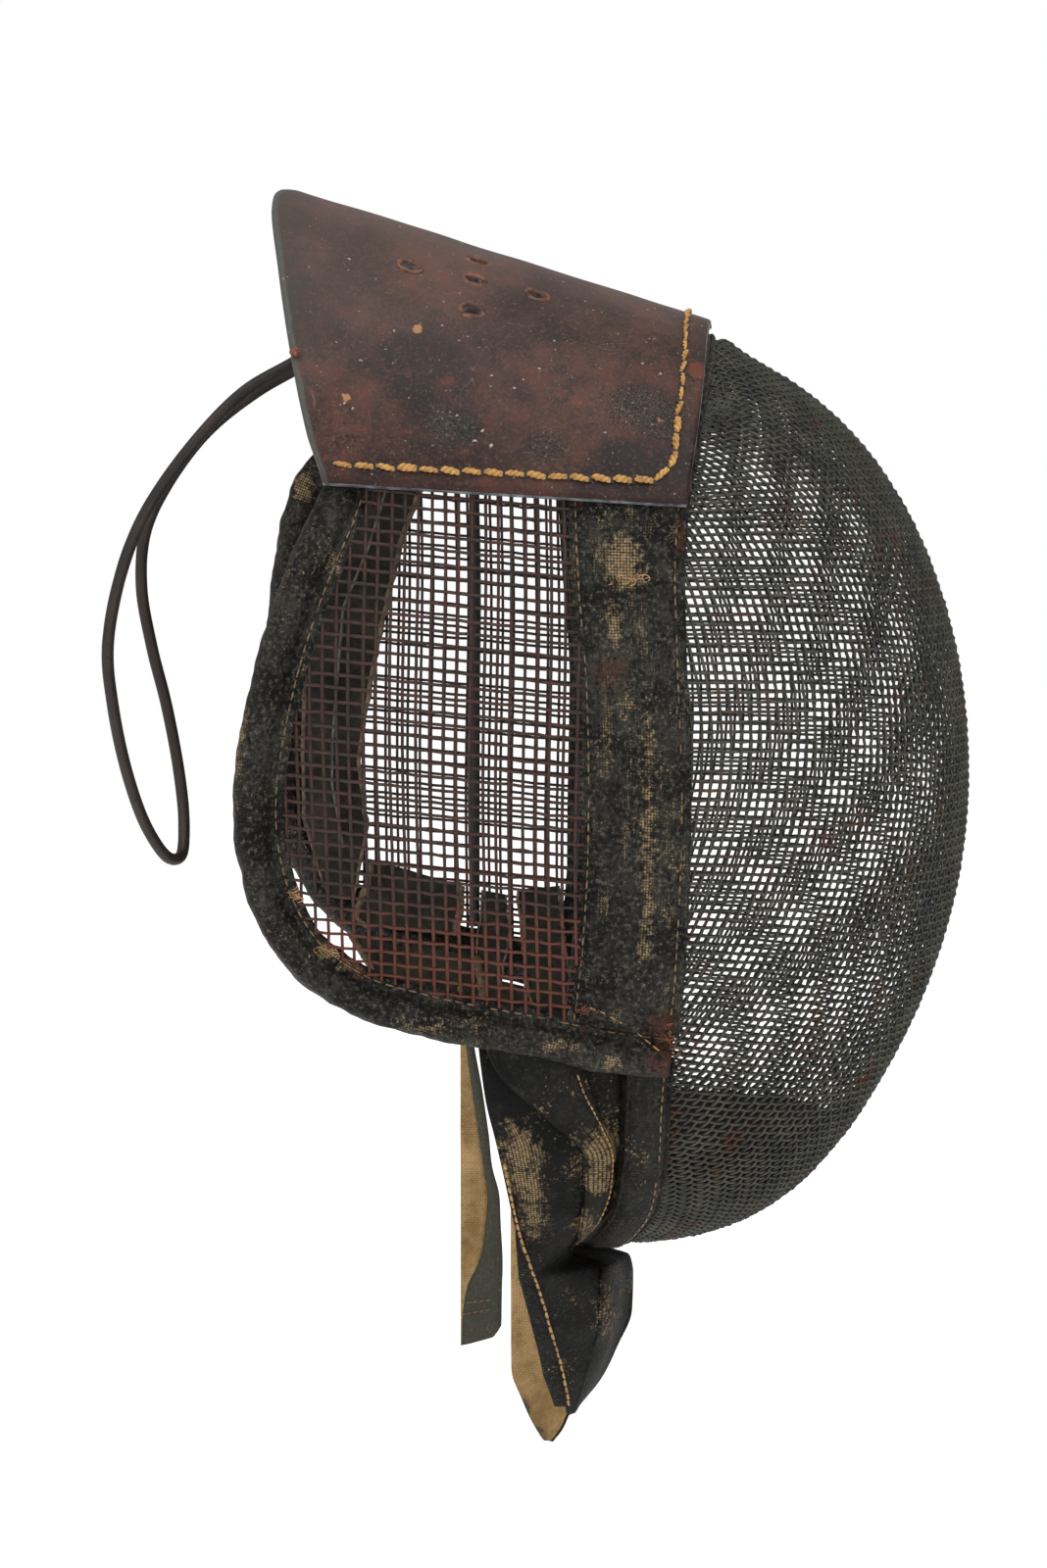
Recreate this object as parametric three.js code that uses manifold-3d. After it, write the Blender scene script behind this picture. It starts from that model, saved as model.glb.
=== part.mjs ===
// Vintage fencing mask: a woven wire face, wire nets at the sides, a leather crown, padded oilcloth
// edges, a hanging throat bib and a wire spring that clasps the back of the head.
// Millimetres. +X is the way the face looks, +Y is the wearer's left, +Z is up.
// Heights in the tables are above the datum, a level line through the middle of the face.
import * as THREE from "three";
import { mergeVertices } from "three/addons/utils/BufferGeometryUtils.js";
import Module from "manifold-3d";

const HEAD_SEAT_HEIGHT = 172; // inside top of the crown, above the datum
const WIDEST_HEIGHT = 50; // height at which the mask is widest
const WIDEST_HALF_WIDTH = 96; // wall to middle there, at the rim
const RIM_NEAR_WIDEST = 50; // x of the rim at that height
const SIDE_TAPER = 0.05; // the side walls draw in by this much per mm to the rear
const RIDGE_FRONT_X = 60.7; // front end of the crown's ridge
const RIDGE_FRONT_HEIGHT = 147.8; // wall height there
const RIDGE_RISE = 0.31; // rise of the ridge per mm to the rear

const GAP = 0.3; // clearance between touching pieces
const RIM_GAP = 0.6; // clearance of the wire face before the bands, whose facets differ from its own
const MESH_HALF_THICKNESS = 1;
const FACE_GRID_ROWS = 26;
const FACE_GRID_COLUMNS = 16;
const NET_OFFSET = 2; // middle of a side net, outside the wall line
const BAND_HALF_THICKNESS = 3;
const LEATHER_THICKNESS = 3;
const LEATHER_INNER_OFFSET = BAND_HALF_THICKNESS + 1.5 * GAP;
const LEATHER_OUTER_OFFSET = LEATHER_INNER_OFFSET + LEATHER_THICKNESS;
const ARCH_BAND_WIDTH = 20;
const BAND_TOP_HEIGHT = 105; // top of the side bands, under the crown
const CHIN_BAND_WIDTH = 14.5;
const CHIN_BAND_HALF_THICKNESS = 2.5;
const CHIN_BAND_TOP = -87;
const LINING_ROWS = 5; // rows of the wire face that the lining backs, from the chin up
const LINING_THICKNESS = 1.5;
const ROLL_SIDES = 10;
const NET_UNDER_CROWN = 11; // how far a net runs up under the leather
const NET_TOP_FRONT = 107; // height of a net's top front corner
const VENT_RADIUS = 3.4;
const SPRING_RADIUS = 2;
const ROD_RADIUS = 1.9;
const ROD_X = -17.5;
const CLOTH_THICKNESS = 2.2;
const STRAP_THICKNESS = 2.4;

const RIGHT = -1; // the wearer's right side, at -Y
const LEFT = 1;

// Sections of the wire face from the chin up: rim x, half width of the rim, and depth before the rim.
const FACE_ROWS = [
  { z: -153.3, rim: 32.2, half: 0, depth: 0 },
  { z: -150.3, rim: 34.8, half: 19.5, depth: 23.4 },
  { z: -144.6, rim: 38.5, half: 32.4, depth: 36.3 },
  { z: -136.2, rim: 43.0, half: 43.7, depth: 44.9 },
  { z: -119.4, rim: 46.0, half: 57.0, depth: 58.3 },
  { z: -94.3, rim: 47.0, half: 68.0, depth: 73.6 },
  { z: -41.2, rim: 50.8, half: 84.5, depth: 90.6 },
  { z: 9.8, rim: 51.7, half: 94.5, depth: 94.7 },
  { z: 50.0, rim: 50.0, half: 96.0, depth: 91.0 },
  { z: 84.8, rim: 50.0, half: 90.1, depth: 78.6 },
  { z: 110.7, rim: 54.0, half: 76.2, depth: 58.1 },
  { z: 126.8, rim: 58.0, half: 60.4, depth: 37.8 },
  { z: 141.3, rim: 61.6, half: 34.8, depth: 11.5 },
  { z: 147.5, rim: 63.0, half: 0, depth: 0 },
];

// Rear edge of the side bands.
const BAND_REAR_ROWS = [
  { z: -70, x: 12.2 },
  { z: -54, x: 14.1 },
  { z: -22, x: 16.4 },
  { z: 9, x: 16.9 },
  { z: 39, x: 16.2 },
  { z: 69, x: 13.7 },
  { z: 110, x: 11.6 },
];

// Middle line of the padded edge rolls: down the back, round the jaw and forward to the rim.
// The left roll is bent out to the rear at the top. Plump is the thickness through the wall.
const ROLL_ROWS = [
  { right: -49.0, left: -64.5, height: 112, width: 5.0, plump: 2.6, offset: -0.3 },
  { right: -52.0, left: -70.5, height: 104.5, width: 6.4, plump: 2.6, offset: -0.4 },
  { right: -54.0, left: -73.5, height: 99, width: 7.2, plump: 2.7, offset: -0.5 },
  { right: -56.5, left: -76.0, height: 92.5, width: 7.8, plump: 5.8, offset: 1.2 },
  { right: -62.6, left: -79.6, height: 78.6, width: 8.0, plump: 8.0, offset: 2.0 },
  { right: -70.5, left: -82.5, height: 57.3, width: 8.0, plump: 8.0, offset: 2.0 },
  { right: -77.8, left: -84.8, height: 29.9, width: 8.0, plump: 8.0, offset: 2.0 },
  { right: -81.4, left: -85.4, height: 8.6, width: 8.0, plump: 8.0, offset: 2.0 },
  { right: -81.4, left: -83.4, height: -9.6, width: 8.0, plump: 8.0, offset: 2.0 },
  { right: -76.9, left: -77.9, height: -29.4, width: 8.0, plump: 8.0, offset: 2.0 },
  { right: -67.2, left: -67.2, height: -46.1, width: 8.0, plump: 8.0, offset: 2.0 },
  { right: -52.0, left: -52.0, height: -57.6, width: 8.0, plump: 8.0, offset: 2.0 },
  { right: -28.4, left: -28.4, height: -64.9, width: 8.0, plump: 8.0, offset: 2.0 },
  { right: 1.8, left: 1.8, height: -71.0, width: 8.0, plump: 8.0, offset: 2.0 },
  { right: 26.0, left: 26.0, height: -76.0, width: 8.0, plump: 8.0, offset: 2.0 },
  { right: 46.4, left: 46.4, height: -78.6, width: 7.6, plump: 6.5, offset: 1.5 },
];

// Front and rear edge of the crown leather, by the angle round from the ridge.
const CROWN_EDGE_ROWS = [
  { angle: 0, front: 62.0, rear: -74.0 },
  { angle: 10, front: 60.4, rear: -79.3 },
  { angle: 20, front: 58.9, rear: -80.3 },
  { angle: 35, front: 56.8, rear: -77.2 },
  { angle: 50, front: 53.9, rear: -72.4 },
  { angle: 62, front: 50.8, rear: -66.7 },
  { angle: 70, front: 49.0, rear: -61.3 },
];
const CROWN_EDGE_REAR = { x: -61, z: 101.5 };
const CROWN_EDGE_FRONT = { x: 46, z: 95.2 };

// Vent holes on each side of the crown: place along the ridge and angle round from it.
const VENTS = [
  { x: -36.1, angle: 27.2 },
  { x: -14.4, angle: 17.8 },
  { x: -15.7, angle: 25.8 },
  { x: -16.3, angle: 34.8 },
  { x: 4.3, angle: 24.9 },
];

// Levels of the right half of the bib, from the roll down to the tip: the free rear hem and the
// front edge. Drop is how much lower the front edge is than the hem.
const BIB_RIGHT_ROWS = [
  { z: -76.9, drop: 11.3, hemX: -16, hemY: -74.5, frontX: 30.8, frontY: -69 },
  { z: -83, drop: 10, hemX: -14.4, hemY: -72.5, frontX: 31, frontY: -66 },
  { z: -96, drop: 8, hemX: -11.5, hemY: -69, frontX: 30.6, frontY: -60 },
  { z: -109, drop: 6, hemX: -8.6, hemY: -65, frontX: 30.4, frontY: -53.6 },
  { z: -122, drop: 4, hemX: -6, hemY: -59, frontX: 29.4, frontY: -46 },
  { z: -136, drop: 3, hemX: -3.4, hemY: -52, frontX: 25.6, frontY: -37 },
  { z: -145, drop: 2, hemX: -1.4, hemY: -47, frontX: 20.8, frontY: -26 },
  { z: -151.5, drop: 1, hemX: 0.6, hemY: -44, frontX: 17, frontY: -16 },
  { z: -157, drop: 0, hemX: 2.4, hemY: -41, frontX: 17.2, frontY: 0.4 },
  { z: -158.2, drop: 0, hemX: 2.8, hemY: -40, frontX: 34.6, frontY: 0.4 },
  { z: -166, drop: 0, hemX: 5, hemY: -35.5, frontX: 36.6, frontY: 0.4 },
  { z: -178, drop: 0, hemX: 8, hemY: -29, frontX: 36.3, frontY: 0.4 },
  { z: -190, drop: 0, hemX: 11, hemY: -21.5, frontX: 31.8, frontY: 0.4 },
  { z: -202, drop: 0, hemX: 13.4, hemY: -14, frontX: 26, frontY: 0.4 },
  { z: -213, drop: 0, hemX: 14.9, hemY: -7, frontX: 17.6, frontY: 0.4 },
];

// Pleat at the same levels: its rear and front fold, and how far it stands out.
const BIB_PLEAT_ROWS = [
  { rear: -13, front: 17, raise: 3.5 },
  { rear: -8, front: 20.5, raise: 4 },
  { rear: 6, front: 25.5, raise: 4.2 },
  { rear: 18.5, front: 29, raise: 4.2 },
  { rear: 18.5, front: 28.6, raise: 4.2 },
  { rear: 16.5, front: 24.4, raise: 4 },
  { rear: 16, front: 19.8, raise: 2.5 },
  { rear: 13, front: 15.5, raise: 1.2 },
  { rear: 13, front: 15.8, raise: 0.3 },
  { rear: 22, front: 29, raise: 2.2 },
  { rear: 22, front: 31, raise: 1.4 },
  { rear: 22, front: 30, raise: 0.6 },
  { rear: 20, front: 27, raise: 0.2 },
  { rear: 18, front: 22.5, raise: 0.1 },
  { rear: 15.8, front: 16.8, raise: 0.1 },
];

// Levels of the plain left half of the bib.
const BIB_LEFT_ROWS = [
  { z: -76.9, drop: 11.3, hemX: -12, hemY: -74, frontX: 30.8, frontY: -69 },
  { z: -96, drop: 8, hemX: -8, hemY: -67, frontX: 30.6, frontY: -60 },
  { z: -122, drop: 4, hemX: -4, hemY: -58, frontX: 29.4, frontY: -46 },
  { z: -136, drop: 3, hemX: -3.4, hemY: -52.5, frontX: 25.6, frontY: -37 },
  { z: -145, drop: 2, hemX: -3.6, hemY: -49.5, frontX: 20.8, frontY: -26 },
  { z: -151.5, drop: 1, hemX: -3.8, hemY: -47, frontX: 17, frontY: -16 },
  { z: -157, drop: 0, hemX: -4.1, hemY: -45, frontX: 17.2, frontY: 0.4 },
  { z: -158.2, drop: 0, hemX: -4.1, hemY: -44, frontX: 34.6, frontY: 0.4 },
  { z: -178, drop: 0, hemX: -4.1, hemY: -37, frontX: 36.3, frontY: 0.4 },
  { z: -190, drop: 0, hemX: -4.1, hemY: -31, frontX: 31.8, frontY: 0.4 },
  { z: -206, drop: 0, hemX: -4.0, hemY: -23, frontX: 23.2, frontY: 0.4 },
  { z: -214, drop: 0, hemX: -0.4, hemY: -16, frontX: 15.8, frontY: -1.2 },
  { z: -220.5, drop: 0, hemX: 3, hemY: -10.5, frontX: 13, frontY: -2.4 },
  { z: -225.4, drop: 0, hemX: 6.6, hemY: -6, frontX: 9.6, frontY: -4 },
];

// Levels of the narrow strap that hangs from the left roll.
const STRAP_ROWS = [
  { z: -76, rear: -22.6, front: -16.5, y: 76.6 },
  { z: -107, rear: -22.6, front: -15.3, y: 77.0 },
  { z: -142, rear: -22.6, front: -13.0, y: 77.6 },
  { z: -156, rear: -22.6, front: -8.9, y: 78.2 },
  { z: -182, rear: -22.6, front: -7.6, y: 78.0 },
  { z: -203, rear: -22.6, front: -8.0, y: 77.2 },
  { z: -206.5, rear: -22.6, front: -11.0, y: 77.0 },
];

// Line of the head spring, from the front bend under the crown round the back of the head.
const SPRING_POINTS = [
  { x: 24.0, y: 0, z: 159.7 },
  { x: 18.0, y: -9.5, z: 160.9 },
  { x: 2.0, y: -14, z: 165.1 },
  { x: -28.0, y: -19, z: 162.5 },
  { x: -55.0, y: -25, z: 150.5 },
  { x: -74.0, y: -28, z: 139.1 },
  { x: -90.0, y: -28, z: 129.8 },
  { x: -105.7, y: -28, z: 114.0 },
  { x: -121.9, y: -26, z: 91.8 },
  { x: -130.3, y: -24, z: 72.7 },
  { x: -135.6, y: -22, z: 47.1 },
  { x: -134.4, y: -20, z: 27.7 },
  { x: -130.3, y: -16, z: 4.8 },
  { x: -124.6, y: -10.5, z: -13.6 },
  { x: -118.4, y: -3, z: -24.4 },
  { x: -114.9, y: 5, z: -24.6 },
  { x: -114.5, y: 12, z: -14.4 },
  { x: -116.4, y: 17, z: 1.7 },
  { x: -120.9, y: 21, z: 24.7 },
  { x: -125.9, y: 23, z: 44.5 },
  { x: -129.4, y: 25, z: 65.0 },
  { x: -128.0, y: 26, z: 83.0 },
  { x: -121.0, y: 27, z: 98.5 },
  { x: -107.0, y: 28, z: 117.0 },
  { x: -90.0, y: 28, z: 130.5 },
  { x: -74.0, y: 28, z: 139.6 },
  { x: -55.0, y: 25, z: 150.5 },
  { x: -28.0, y: 19, z: 162.5 },
  { x: 2.0, y: 14, z: 165.1 },
  { x: 18.0, y: 9.5, z: 160.9 },
];

const wasm = await Module();
wasm.setup();

function lerp(a, b, t) {
  return a + (b - a) * t;
}

function spaced(count, from = 0, to = 1) {
  return Array.from({ length: count + 1 }, (_, i) => lerp(from, to, i / count));
}

// A smooth curve through the rows of a table. Columns in levelEnds run level at both ends.
function smoothTable(rows, knots, levelEnds = []) {
  const last = rows.length - 1;
  const names = Object.keys(rows[0]);
  const slopes = {};
  for (const name of names) {
    const rise = rows
      .slice(1)
      .map((row, i) => (row[name] - rows[i][name]) / (knots[i + 1] - knots[i]));
    slopes[name] = rows.map((row, i) => {
      if (i === 0 || i === last) {
        return levelEnds.includes(name) ? 0 : rise[i === 0 ? 0 : last - 1];
      }
      const before = knots[i] - knots[i - 1];
      const after = knots[i + 1] - knots[i];
      return (rise[i - 1] * after + rise[i] * before) / (before + after);
    });
  }
  return (at) => {
    let i = 0;
    while (i < last - 1 && at > knots[i + 1]) i += 1;
    const span = knots[i + 1] - knots[i];
    const t = THREE.MathUtils.clamp((at - knots[i]) / span, 0, 1);
    const out = {};
    for (const name of names) {
      const a = rows[i][name];
      const b = rows[i + 1][name];
      const ma = slopes[name][i] * span;
      const mb = slopes[name][i + 1] * span;
      const t2 = t * t;
      const t3 = t2 * t;
      out[name] =
        (2 * t3 - 3 * t2 + 1) * a + (t3 - 2 * t2 + t) * ma + (3 * t2 - 2 * t3) * b + (t3 - t2) * mb;
    }
    return out;
  };
}

function chords(rows, distance) {
  const knots = [0];
  for (let i = 1; i < rows.length; i += 1) {
    knots.push(knots[i - 1] + distance(rows[i - 1], rows[i]));
  }
  return knots;
}

const faceKnots = chords(FACE_ROWS, (a, b) => Math.hypot(b.z - a.z, b.half - a.half));
const FACE_LENGTH = faceKnots[faceKnots.length - 1];
const faceSection = smoothTable(FACE_ROWS, faceKnots, ["z", "rim"]);
const faceByHeight = smoothTable(FACE_ROWS, FACE_ROWS.map((row) => row.z));
const bandRear = smoothTable(BAND_REAR_ROWS, BAND_REAR_ROWS.map((row) => row.z));
const crownAngles = CROWN_EDGE_ROWS.map((row) => row.angle);
const crownEdges = smoothTable(CROWN_EDGE_ROWS, crownAngles, ["front", "rear"]);

function rimX(z) {
  return faceByHeight(z).rim;
}

// Wall line of the mask at a place along it.
function archHalfWidth(x) {
  return WIDEST_HALF_WIDTH - SIDE_TAPER * (RIM_NEAR_WIDEST - x);
}

function archHeight(x) {
  return RIDGE_FRONT_HEIGHT + RIDGE_RISE * (RIDGE_FRONT_X - x);
}

function wallHalfWidth(x, z, offset = 0) {
  if (z > WIDEST_HEIGHT) {
    const share = (z - WIDEST_HEIGHT) / (archHeight(x) + offset - WIDEST_HEIGHT);
    return (archHalfWidth(x) + offset) * Math.sqrt(Math.max(0, 1 - share * share));
  }
  return faceByHeight(z).half - SIDE_TAPER * (RIM_NEAR_WIDEST - x) + offset;
}

function sidePoint(side, x, z, offset) {
  return new THREE.Vector3(x, side * wallHalfWidth(x, z, offset), z);
}

function archPoint(x, angle, offset) {
  return new THREE.Vector3(
    x,
    (archHalfWidth(x) + offset) * Math.sin(angle),
    WIDEST_HEIGHT + (archHeight(x) + offset - WIDEST_HEIGHT) * Math.cos(angle),
  );
}

// Collects faces into one closed skin, joining corners that share a place.
class Skin {
  constructor() {
    this.corners = [];
    this.faces = [];
    this.places = new Map();
  }

  corner(p) {
    const key = [p.x, p.y, p.z].map((v) => Math.round(v * 1e4)).join(",");
    if (!this.places.has(key)) {
      this.places.set(key, this.corners.length);
      this.corners.push(p);
    }
    return this.places.get(key);
  }

  triangle(a, b, c) {
    const [i, j, k] = [a, b, c].map((p) => this.corner(p));
    if (i !== j && j !== k && k !== i) this.faces.push([i, j, k]);
  }

  quad(a, b, c, d) {
    this.triangle(a, b, c);
    this.triangle(a, c, d);
  }

  geometry() {
    const volume = this.faces.reduce((sum, [i, j, k]) => {
      const [a, b, c] = [this.corners[i], this.corners[j], this.corners[k]];
      return sum + a.dot(b.clone().cross(c));
    }, 0);
    const index = this.faces.flatMap(([i, j, k]) => (volume < 0 ? [i, k, j] : [i, j, k]));
    const made = new THREE.BufferGeometry();
    const places = this.corners.flatMap((p) => p.toArray());
    made.setAttribute("position", new THREE.Float32BufferAttribute(places, 3));
    made.setIndex(index);
    made.computeVertexNormals();
    return made;
  }
}

// A sheet between two matching grids of points.
function sheet(outer, inner) {
  const skin = new Skin();
  const rows = outer.length - 1;
  const columns = outer[0].length - 1;
  for (let i = 0; i < rows; i += 1) {
    for (let j = 0; j < columns; j += 1) {
      skin.quad(outer[i][j], outer[i][j + 1], outer[i + 1][j + 1], outer[i + 1][j]);
      skin.quad(inner[i][j], inner[i + 1][j], inner[i + 1][j + 1], inner[i][j + 1]);
    }
    skin.quad(outer[i][0], outer[i + 1][0], inner[i + 1][0], inner[i][0]);
    skin.quad(outer[i][columns], inner[i][columns], inner[i + 1][columns], outer[i + 1][columns]);
  }
  for (let j = 0; j < columns; j += 1) {
    skin.quad(outer[0][j], inner[0][j], inner[0][j + 1], outer[0][j + 1]);
    skin.quad(outer[rows][j], outer[rows][j + 1], inner[rows][j + 1], inner[rows][j]);
  }
  return skin.geometry();
}

// A solid through closed rings of points, shut at both ends.
function loft(rings) {
  const skin = new Skin();
  const count = rings[0].length;
  for (let i = 0; i + 1 < rings.length; i += 1) {
    for (let j = 0; j < count; j += 1) {
      const next = (j + 1) % count;
      skin.quad(rings[i][j], rings[i][next], rings[i + 1][next], rings[i + 1][j]);
    }
  }
  const first = rings[0];
  const last = rings[rings.length - 1];
  const flat = THREE.ShapeUtils.triangulateShape(flatOutline(first), []);
  for (const [a, b, c] of flat) skin.triangle(first[a], first[c], first[b]);
  const flatLast = THREE.ShapeUtils.triangulateShape(flatOutline(last), []);
  for (const [a, b, c] of flatLast) skin.triangle(last[a], last[b], last[c]);
  return skin.geometry();
}

// A ring laid flat along its own plane, turned so that it keeps the ring's own sense.
function flatOutline(ring) {
  const normal = new THREE.Vector3();
  ring.forEach((p, i) => {
    const q = ring[(i + 1) % ring.length];
    normal.add(p.clone().cross(q));
  });
  normal.normalize();
  const across = ring[1].clone().sub(ring[0]);
  across.addScaledVector(normal, -across.dot(normal)).normalize();
  const up = normal.clone().cross(across);
  return ring.map((p) => new THREE.Vector2(p.dot(across), p.dot(up)));
}

// Section of a padded strip: x from rear to front, offset from inside to outside.
function paddedSection(rear, front, halfThickness, edge) {
  const thin = halfThickness * 0.6;
  return [
    { x: rear, offset: -thin },
    { x: rear + edge, offset: -halfThickness },
    { x: front - edge, offset: -halfThickness },
    { x: front, offset: -thin },
    { x: front, offset: thin },
    { x: front - edge, offset: halfThickness },
    { x: rear + edge, offset: halfThickness },
    { x: rear, offset: thin },
  ];
}

// The wire face as a thin dome.
function facePoint(along, turn) {
  const section = faceSection(along);
  return new THREE.Vector3(
    rimX(section.z) + RIM_GAP + section.depth * Math.cos(turn),
    section.half * Math.sin(turn),
    section.z,
  );
}

function faceNormal(along, turn) {
  if (along <= 0) return new THREE.Vector3(0, 0, -1);
  if (along >= FACE_LENGTH) return new THREE.Vector3(0, 0, 1);
  const step = 0.5;
  const up = facePoint(along + step, turn).sub(facePoint(along - step, turn));
  const round = facePoint(along, turn + 0.01).sub(facePoint(along, turn - 0.01));
  return round.cross(up).normalize();
}

function faceGrid(offset) {
  return spaced(FACE_GRID_ROWS, 0, FACE_LENGTH).map((along) =>
    spaced(FACE_GRID_COLUMNS, -Math.PI / 2, Math.PI / 2).map((turn) =>
      facePoint(along, turn).addScaledVector(faceNormal(along, turn), offset),
    ),
  );
}

function alongAtHeight(z) {
  let low = 0;
  let high = FACE_LENGTH;
  for (let i = 0; i < 40; i += 1) {
    const middle = (low + high) / 2;
    if (faceSection(middle).z < z) low = middle;
    else high = middle;
  }
  return low;
}

function faceMesh() {
  return sheet(faceGrid(MESH_HALF_THICKNESS), faceGrid(-MESH_HALF_THICKNESS));
}

function chinLining() {
  const outer = -MESH_HALF_THICKNESS - GAP;
  const rows = (offset) => faceGrid(offset).slice(0, LINING_ROWS + 1);
  return sheet(rows(outer), rows(outer - LINING_THICKNESS));
}

// Middle line and section of an edge roll, and the inner line that the net meets.
function rollLine(side) {
  const rows = ROLL_ROWS.map(({ right, left, height, width, plump, offset }) => ({
    x: side === RIGHT ? right : left,
    z: height,
    width,
    plump,
    offset,
  }));
  const knots = chords(rows, (a, b) => Math.hypot(b.x - a.x, b.z - a.z));
  return { at: smoothTable(rows, knots), length: knots[knots.length - 1] };
}

// Unit vector square to the roll, towards the net.
function rollInward(line, along) {
  const a = line.at(Math.max(0, along - 0.5));
  const b = line.at(Math.min(line.length, along + 0.5));
  const run = Math.hypot(b.x - a.x, b.z - a.z);
  return { x: -(b.z - a.z) / run, z: (b.x - a.x) / run };
}

function edgeRoll(side) {
  const line = rollLine(side);
  const rings = spaced(30, 0, line.length).map((along) => {
    const here = line.at(along);
    const inward = rollInward(line, along);
    return spaced(ROLL_SIDES - 1, 0, 2 * Math.PI * (1 - 1 / ROLL_SIDES)).map((angle) => {
      const across = here.width * Math.cos(angle);
      const out = here.plump * Math.sin(angle);
      const middle = wallHalfWidth(here.x, here.z) + here.offset;
      return new THREE.Vector3(
        here.x + inward.x * across,
        side * (middle + out),
        here.z + inward.z * across,
      );
    });
  });
  return loft(rings);
}

function crownEdgeHeight(x) {
  const share = (x - CROWN_EDGE_REAR.x) / (CROWN_EDGE_FRONT.x - CROWN_EDGE_REAR.x);
  return lerp(CROWN_EDGE_REAR.z, CROWN_EDGE_FRONT.z, share);
}

// The side net fills the space inside the roll, behind the band and up under the crown.
function netOutline(side) {
  const line = rollLine(side);
  const clear = 2 * GAP;
  const inner = spaced(400, 0, line.length).map((along) => {
    const here = line.at(along);
    const inward = rollInward(line, along);
    const reach = here.width + clear;
    return { x: here.x + inward.x * reach, z: here.z + inward.z * reach, along };
  });
  const start = inner.findIndex((p) => p.z < crownEdgeHeight(p.x) + NET_UNDER_CROWN);
  const end = inner.findIndex((p) => p.z < 0 && p.x > bandRear(p.z).x - 2 * GAP);
  const corner = inner.findIndex((p) => p.z < -36);
  return {
    back: inner.slice(start, corner + 1).reverse(),
    jaw: inner.slice(corner, end),
  };
}

function pick(points, share) {
  const at = share * (points.length - 1);
  const i = Math.min(Math.floor(at), points.length - 2);
  const t = at - i;
  return { x: lerp(points[i].x, points[i + 1].x, t), z: lerp(points[i].z, points[i + 1].z, t) };
}

function netPlace(outline, u, v) {
  const bottom = pick(outline.jaw, u);
  const back = pick(outline.back, v);
  const cornerRear = outline.jaw[0];
  const cornerFront = outline.jaw[outline.jaw.length - 1];
  const topRear = outline.back[outline.back.length - 1];
  const frontZ = lerp(cornerFront.z, NET_TOP_FRONT, v);
  const front = { x: bandRear(frontZ).x - 2 * GAP, z: frontZ };
  const topFront = { x: bandRear(NET_TOP_FRONT).x - 2 * GAP, z: NET_TOP_FRONT };
  const top = { x: lerp(topRear.x, topFront.x, u), z: lerp(topRear.z, topFront.z, u) };
  const place = {};
  for (const k of ["x", "z"]) {
    const edges = lerp(bottom[k], top[k], v) + lerp(back[k], front[k], u);
    const corners = lerp(lerp(cornerRear[k], cornerFront[k], u), lerp(topRear[k], topFront[k], u), v);
    place[k] = edges - corners;
  }
  return place;
}

function sideNet(side) {
  const outline = netOutline(side);
  const grid = (offset) =>
    spaced(14).map((v) =>
      spaced(10).map((u) => {
        const place = netPlace(outline, u, v);
        return sidePoint(side, place.x, place.z, offset);
      }),
    );
  return sheet(grid(NET_OFFSET + MESH_HALF_THICKNESS), grid(NET_OFFSET - MESH_HALF_THICKNESS));
}

function sideBand(side) {
  const line = rollLine(side);
  const rollTop = (x) => {
    let along = line.length;
    while (along > 0 && line.at(along).x > x) along -= 0.5;
    const here = line.at(along);
    return here.z + here.width + 2 * GAP;
  };
  const rings = spaced(16).map((share) => {
    const level = lerp(-67, BAND_TOP_HEIGHT, share);
    const rear = bandRear(level).x;
    const front = rimX(level);
    return paddedSection(rear, front, BAND_HALF_THICKNESS, 4).map(({ x, offset }) => {
      const z = lerp(rollTop(x), BAND_TOP_HEIGHT, share);
      return sidePoint(side, x, z, offset);
    });
  });
  return loft(rings);
}

function archBand() {
  const reach = THREE.MathUtils.degToRad(56);
  const rings = spaced(18, -reach, reach).map((angle) => {
    let rim = RIDGE_FRONT_X;
    for (let i = 0; i < 6; i += 1) rim = rimX(archPoint(rim, angle, 0).z);
    return paddedSection(rim - ARCH_BAND_WIDTH, rim, BAND_HALF_THICKNESS, 3).map(({ x, offset }) =>
      archPoint(x, angle, offset),
    );
  });
  return loft(rings);
}

function chinBand() {
  const top = alongAtHeight(CHIN_BAND_TOP);
  const half = spaced(10, top, 0).map((along) => ({ along, side: RIGHT }));
  const stations = half.concat(half.slice(0, -1).reverse().map(({ along }) => ({ along, side: LEFT })));
  const rings = stations.map(({ along, side }) => {
    const here = faceSection(along);
    const a = faceSection(Math.max(0, along - 0.5));
    const b = faceSection(along + 0.5);
    const run = Math.hypot(b.half - a.half, b.z - a.z);
    const out = { y: (b.z - a.z) / run, z: -(b.half - a.half) / run };
    if (along <= 0) Object.assign(out, { y: 0, z: -1 });
    const rim = rimX(here.z);
    return paddedSection(rim - CHIN_BAND_WIDTH, rim, CHIN_BAND_HALF_THICKNESS, 2).map(({ x, offset }) =>
      new THREE.Vector3(x, side * (here.half + out.y * offset), here.z + out.z * offset),
    );
  });
  return loft(rings);
}

function crownReach(x, offset) {
  const share = (crownEdgeHeight(x) - WIDEST_HEIGHT) / (archHeight(x) + offset - WIDEST_HEIGHT);
  return Math.acos(share);
}

function crownGrid(offset) {
  return spaced(8).map((u) =>
    spaced(22, -1, 1).map((v) => {
      let x = lerp(CROWN_EDGE_FRONT.x, CROWN_EDGE_REAR.x, u);
      let angle = v * crownReach(x, LEATHER_OUTER_OFFSET);
      for (let i = 0; i < 6; i += 1) {
        const edges = crownEdges(Math.abs(THREE.MathUtils.radToDeg(angle)));
        x = lerp(edges.front, edges.rear, u);
        angle = v * crownReach(x, LEATHER_OUTER_OFFSET);
      }
      return archPoint(x, angle, offset);
    }),
  );
}

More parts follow.
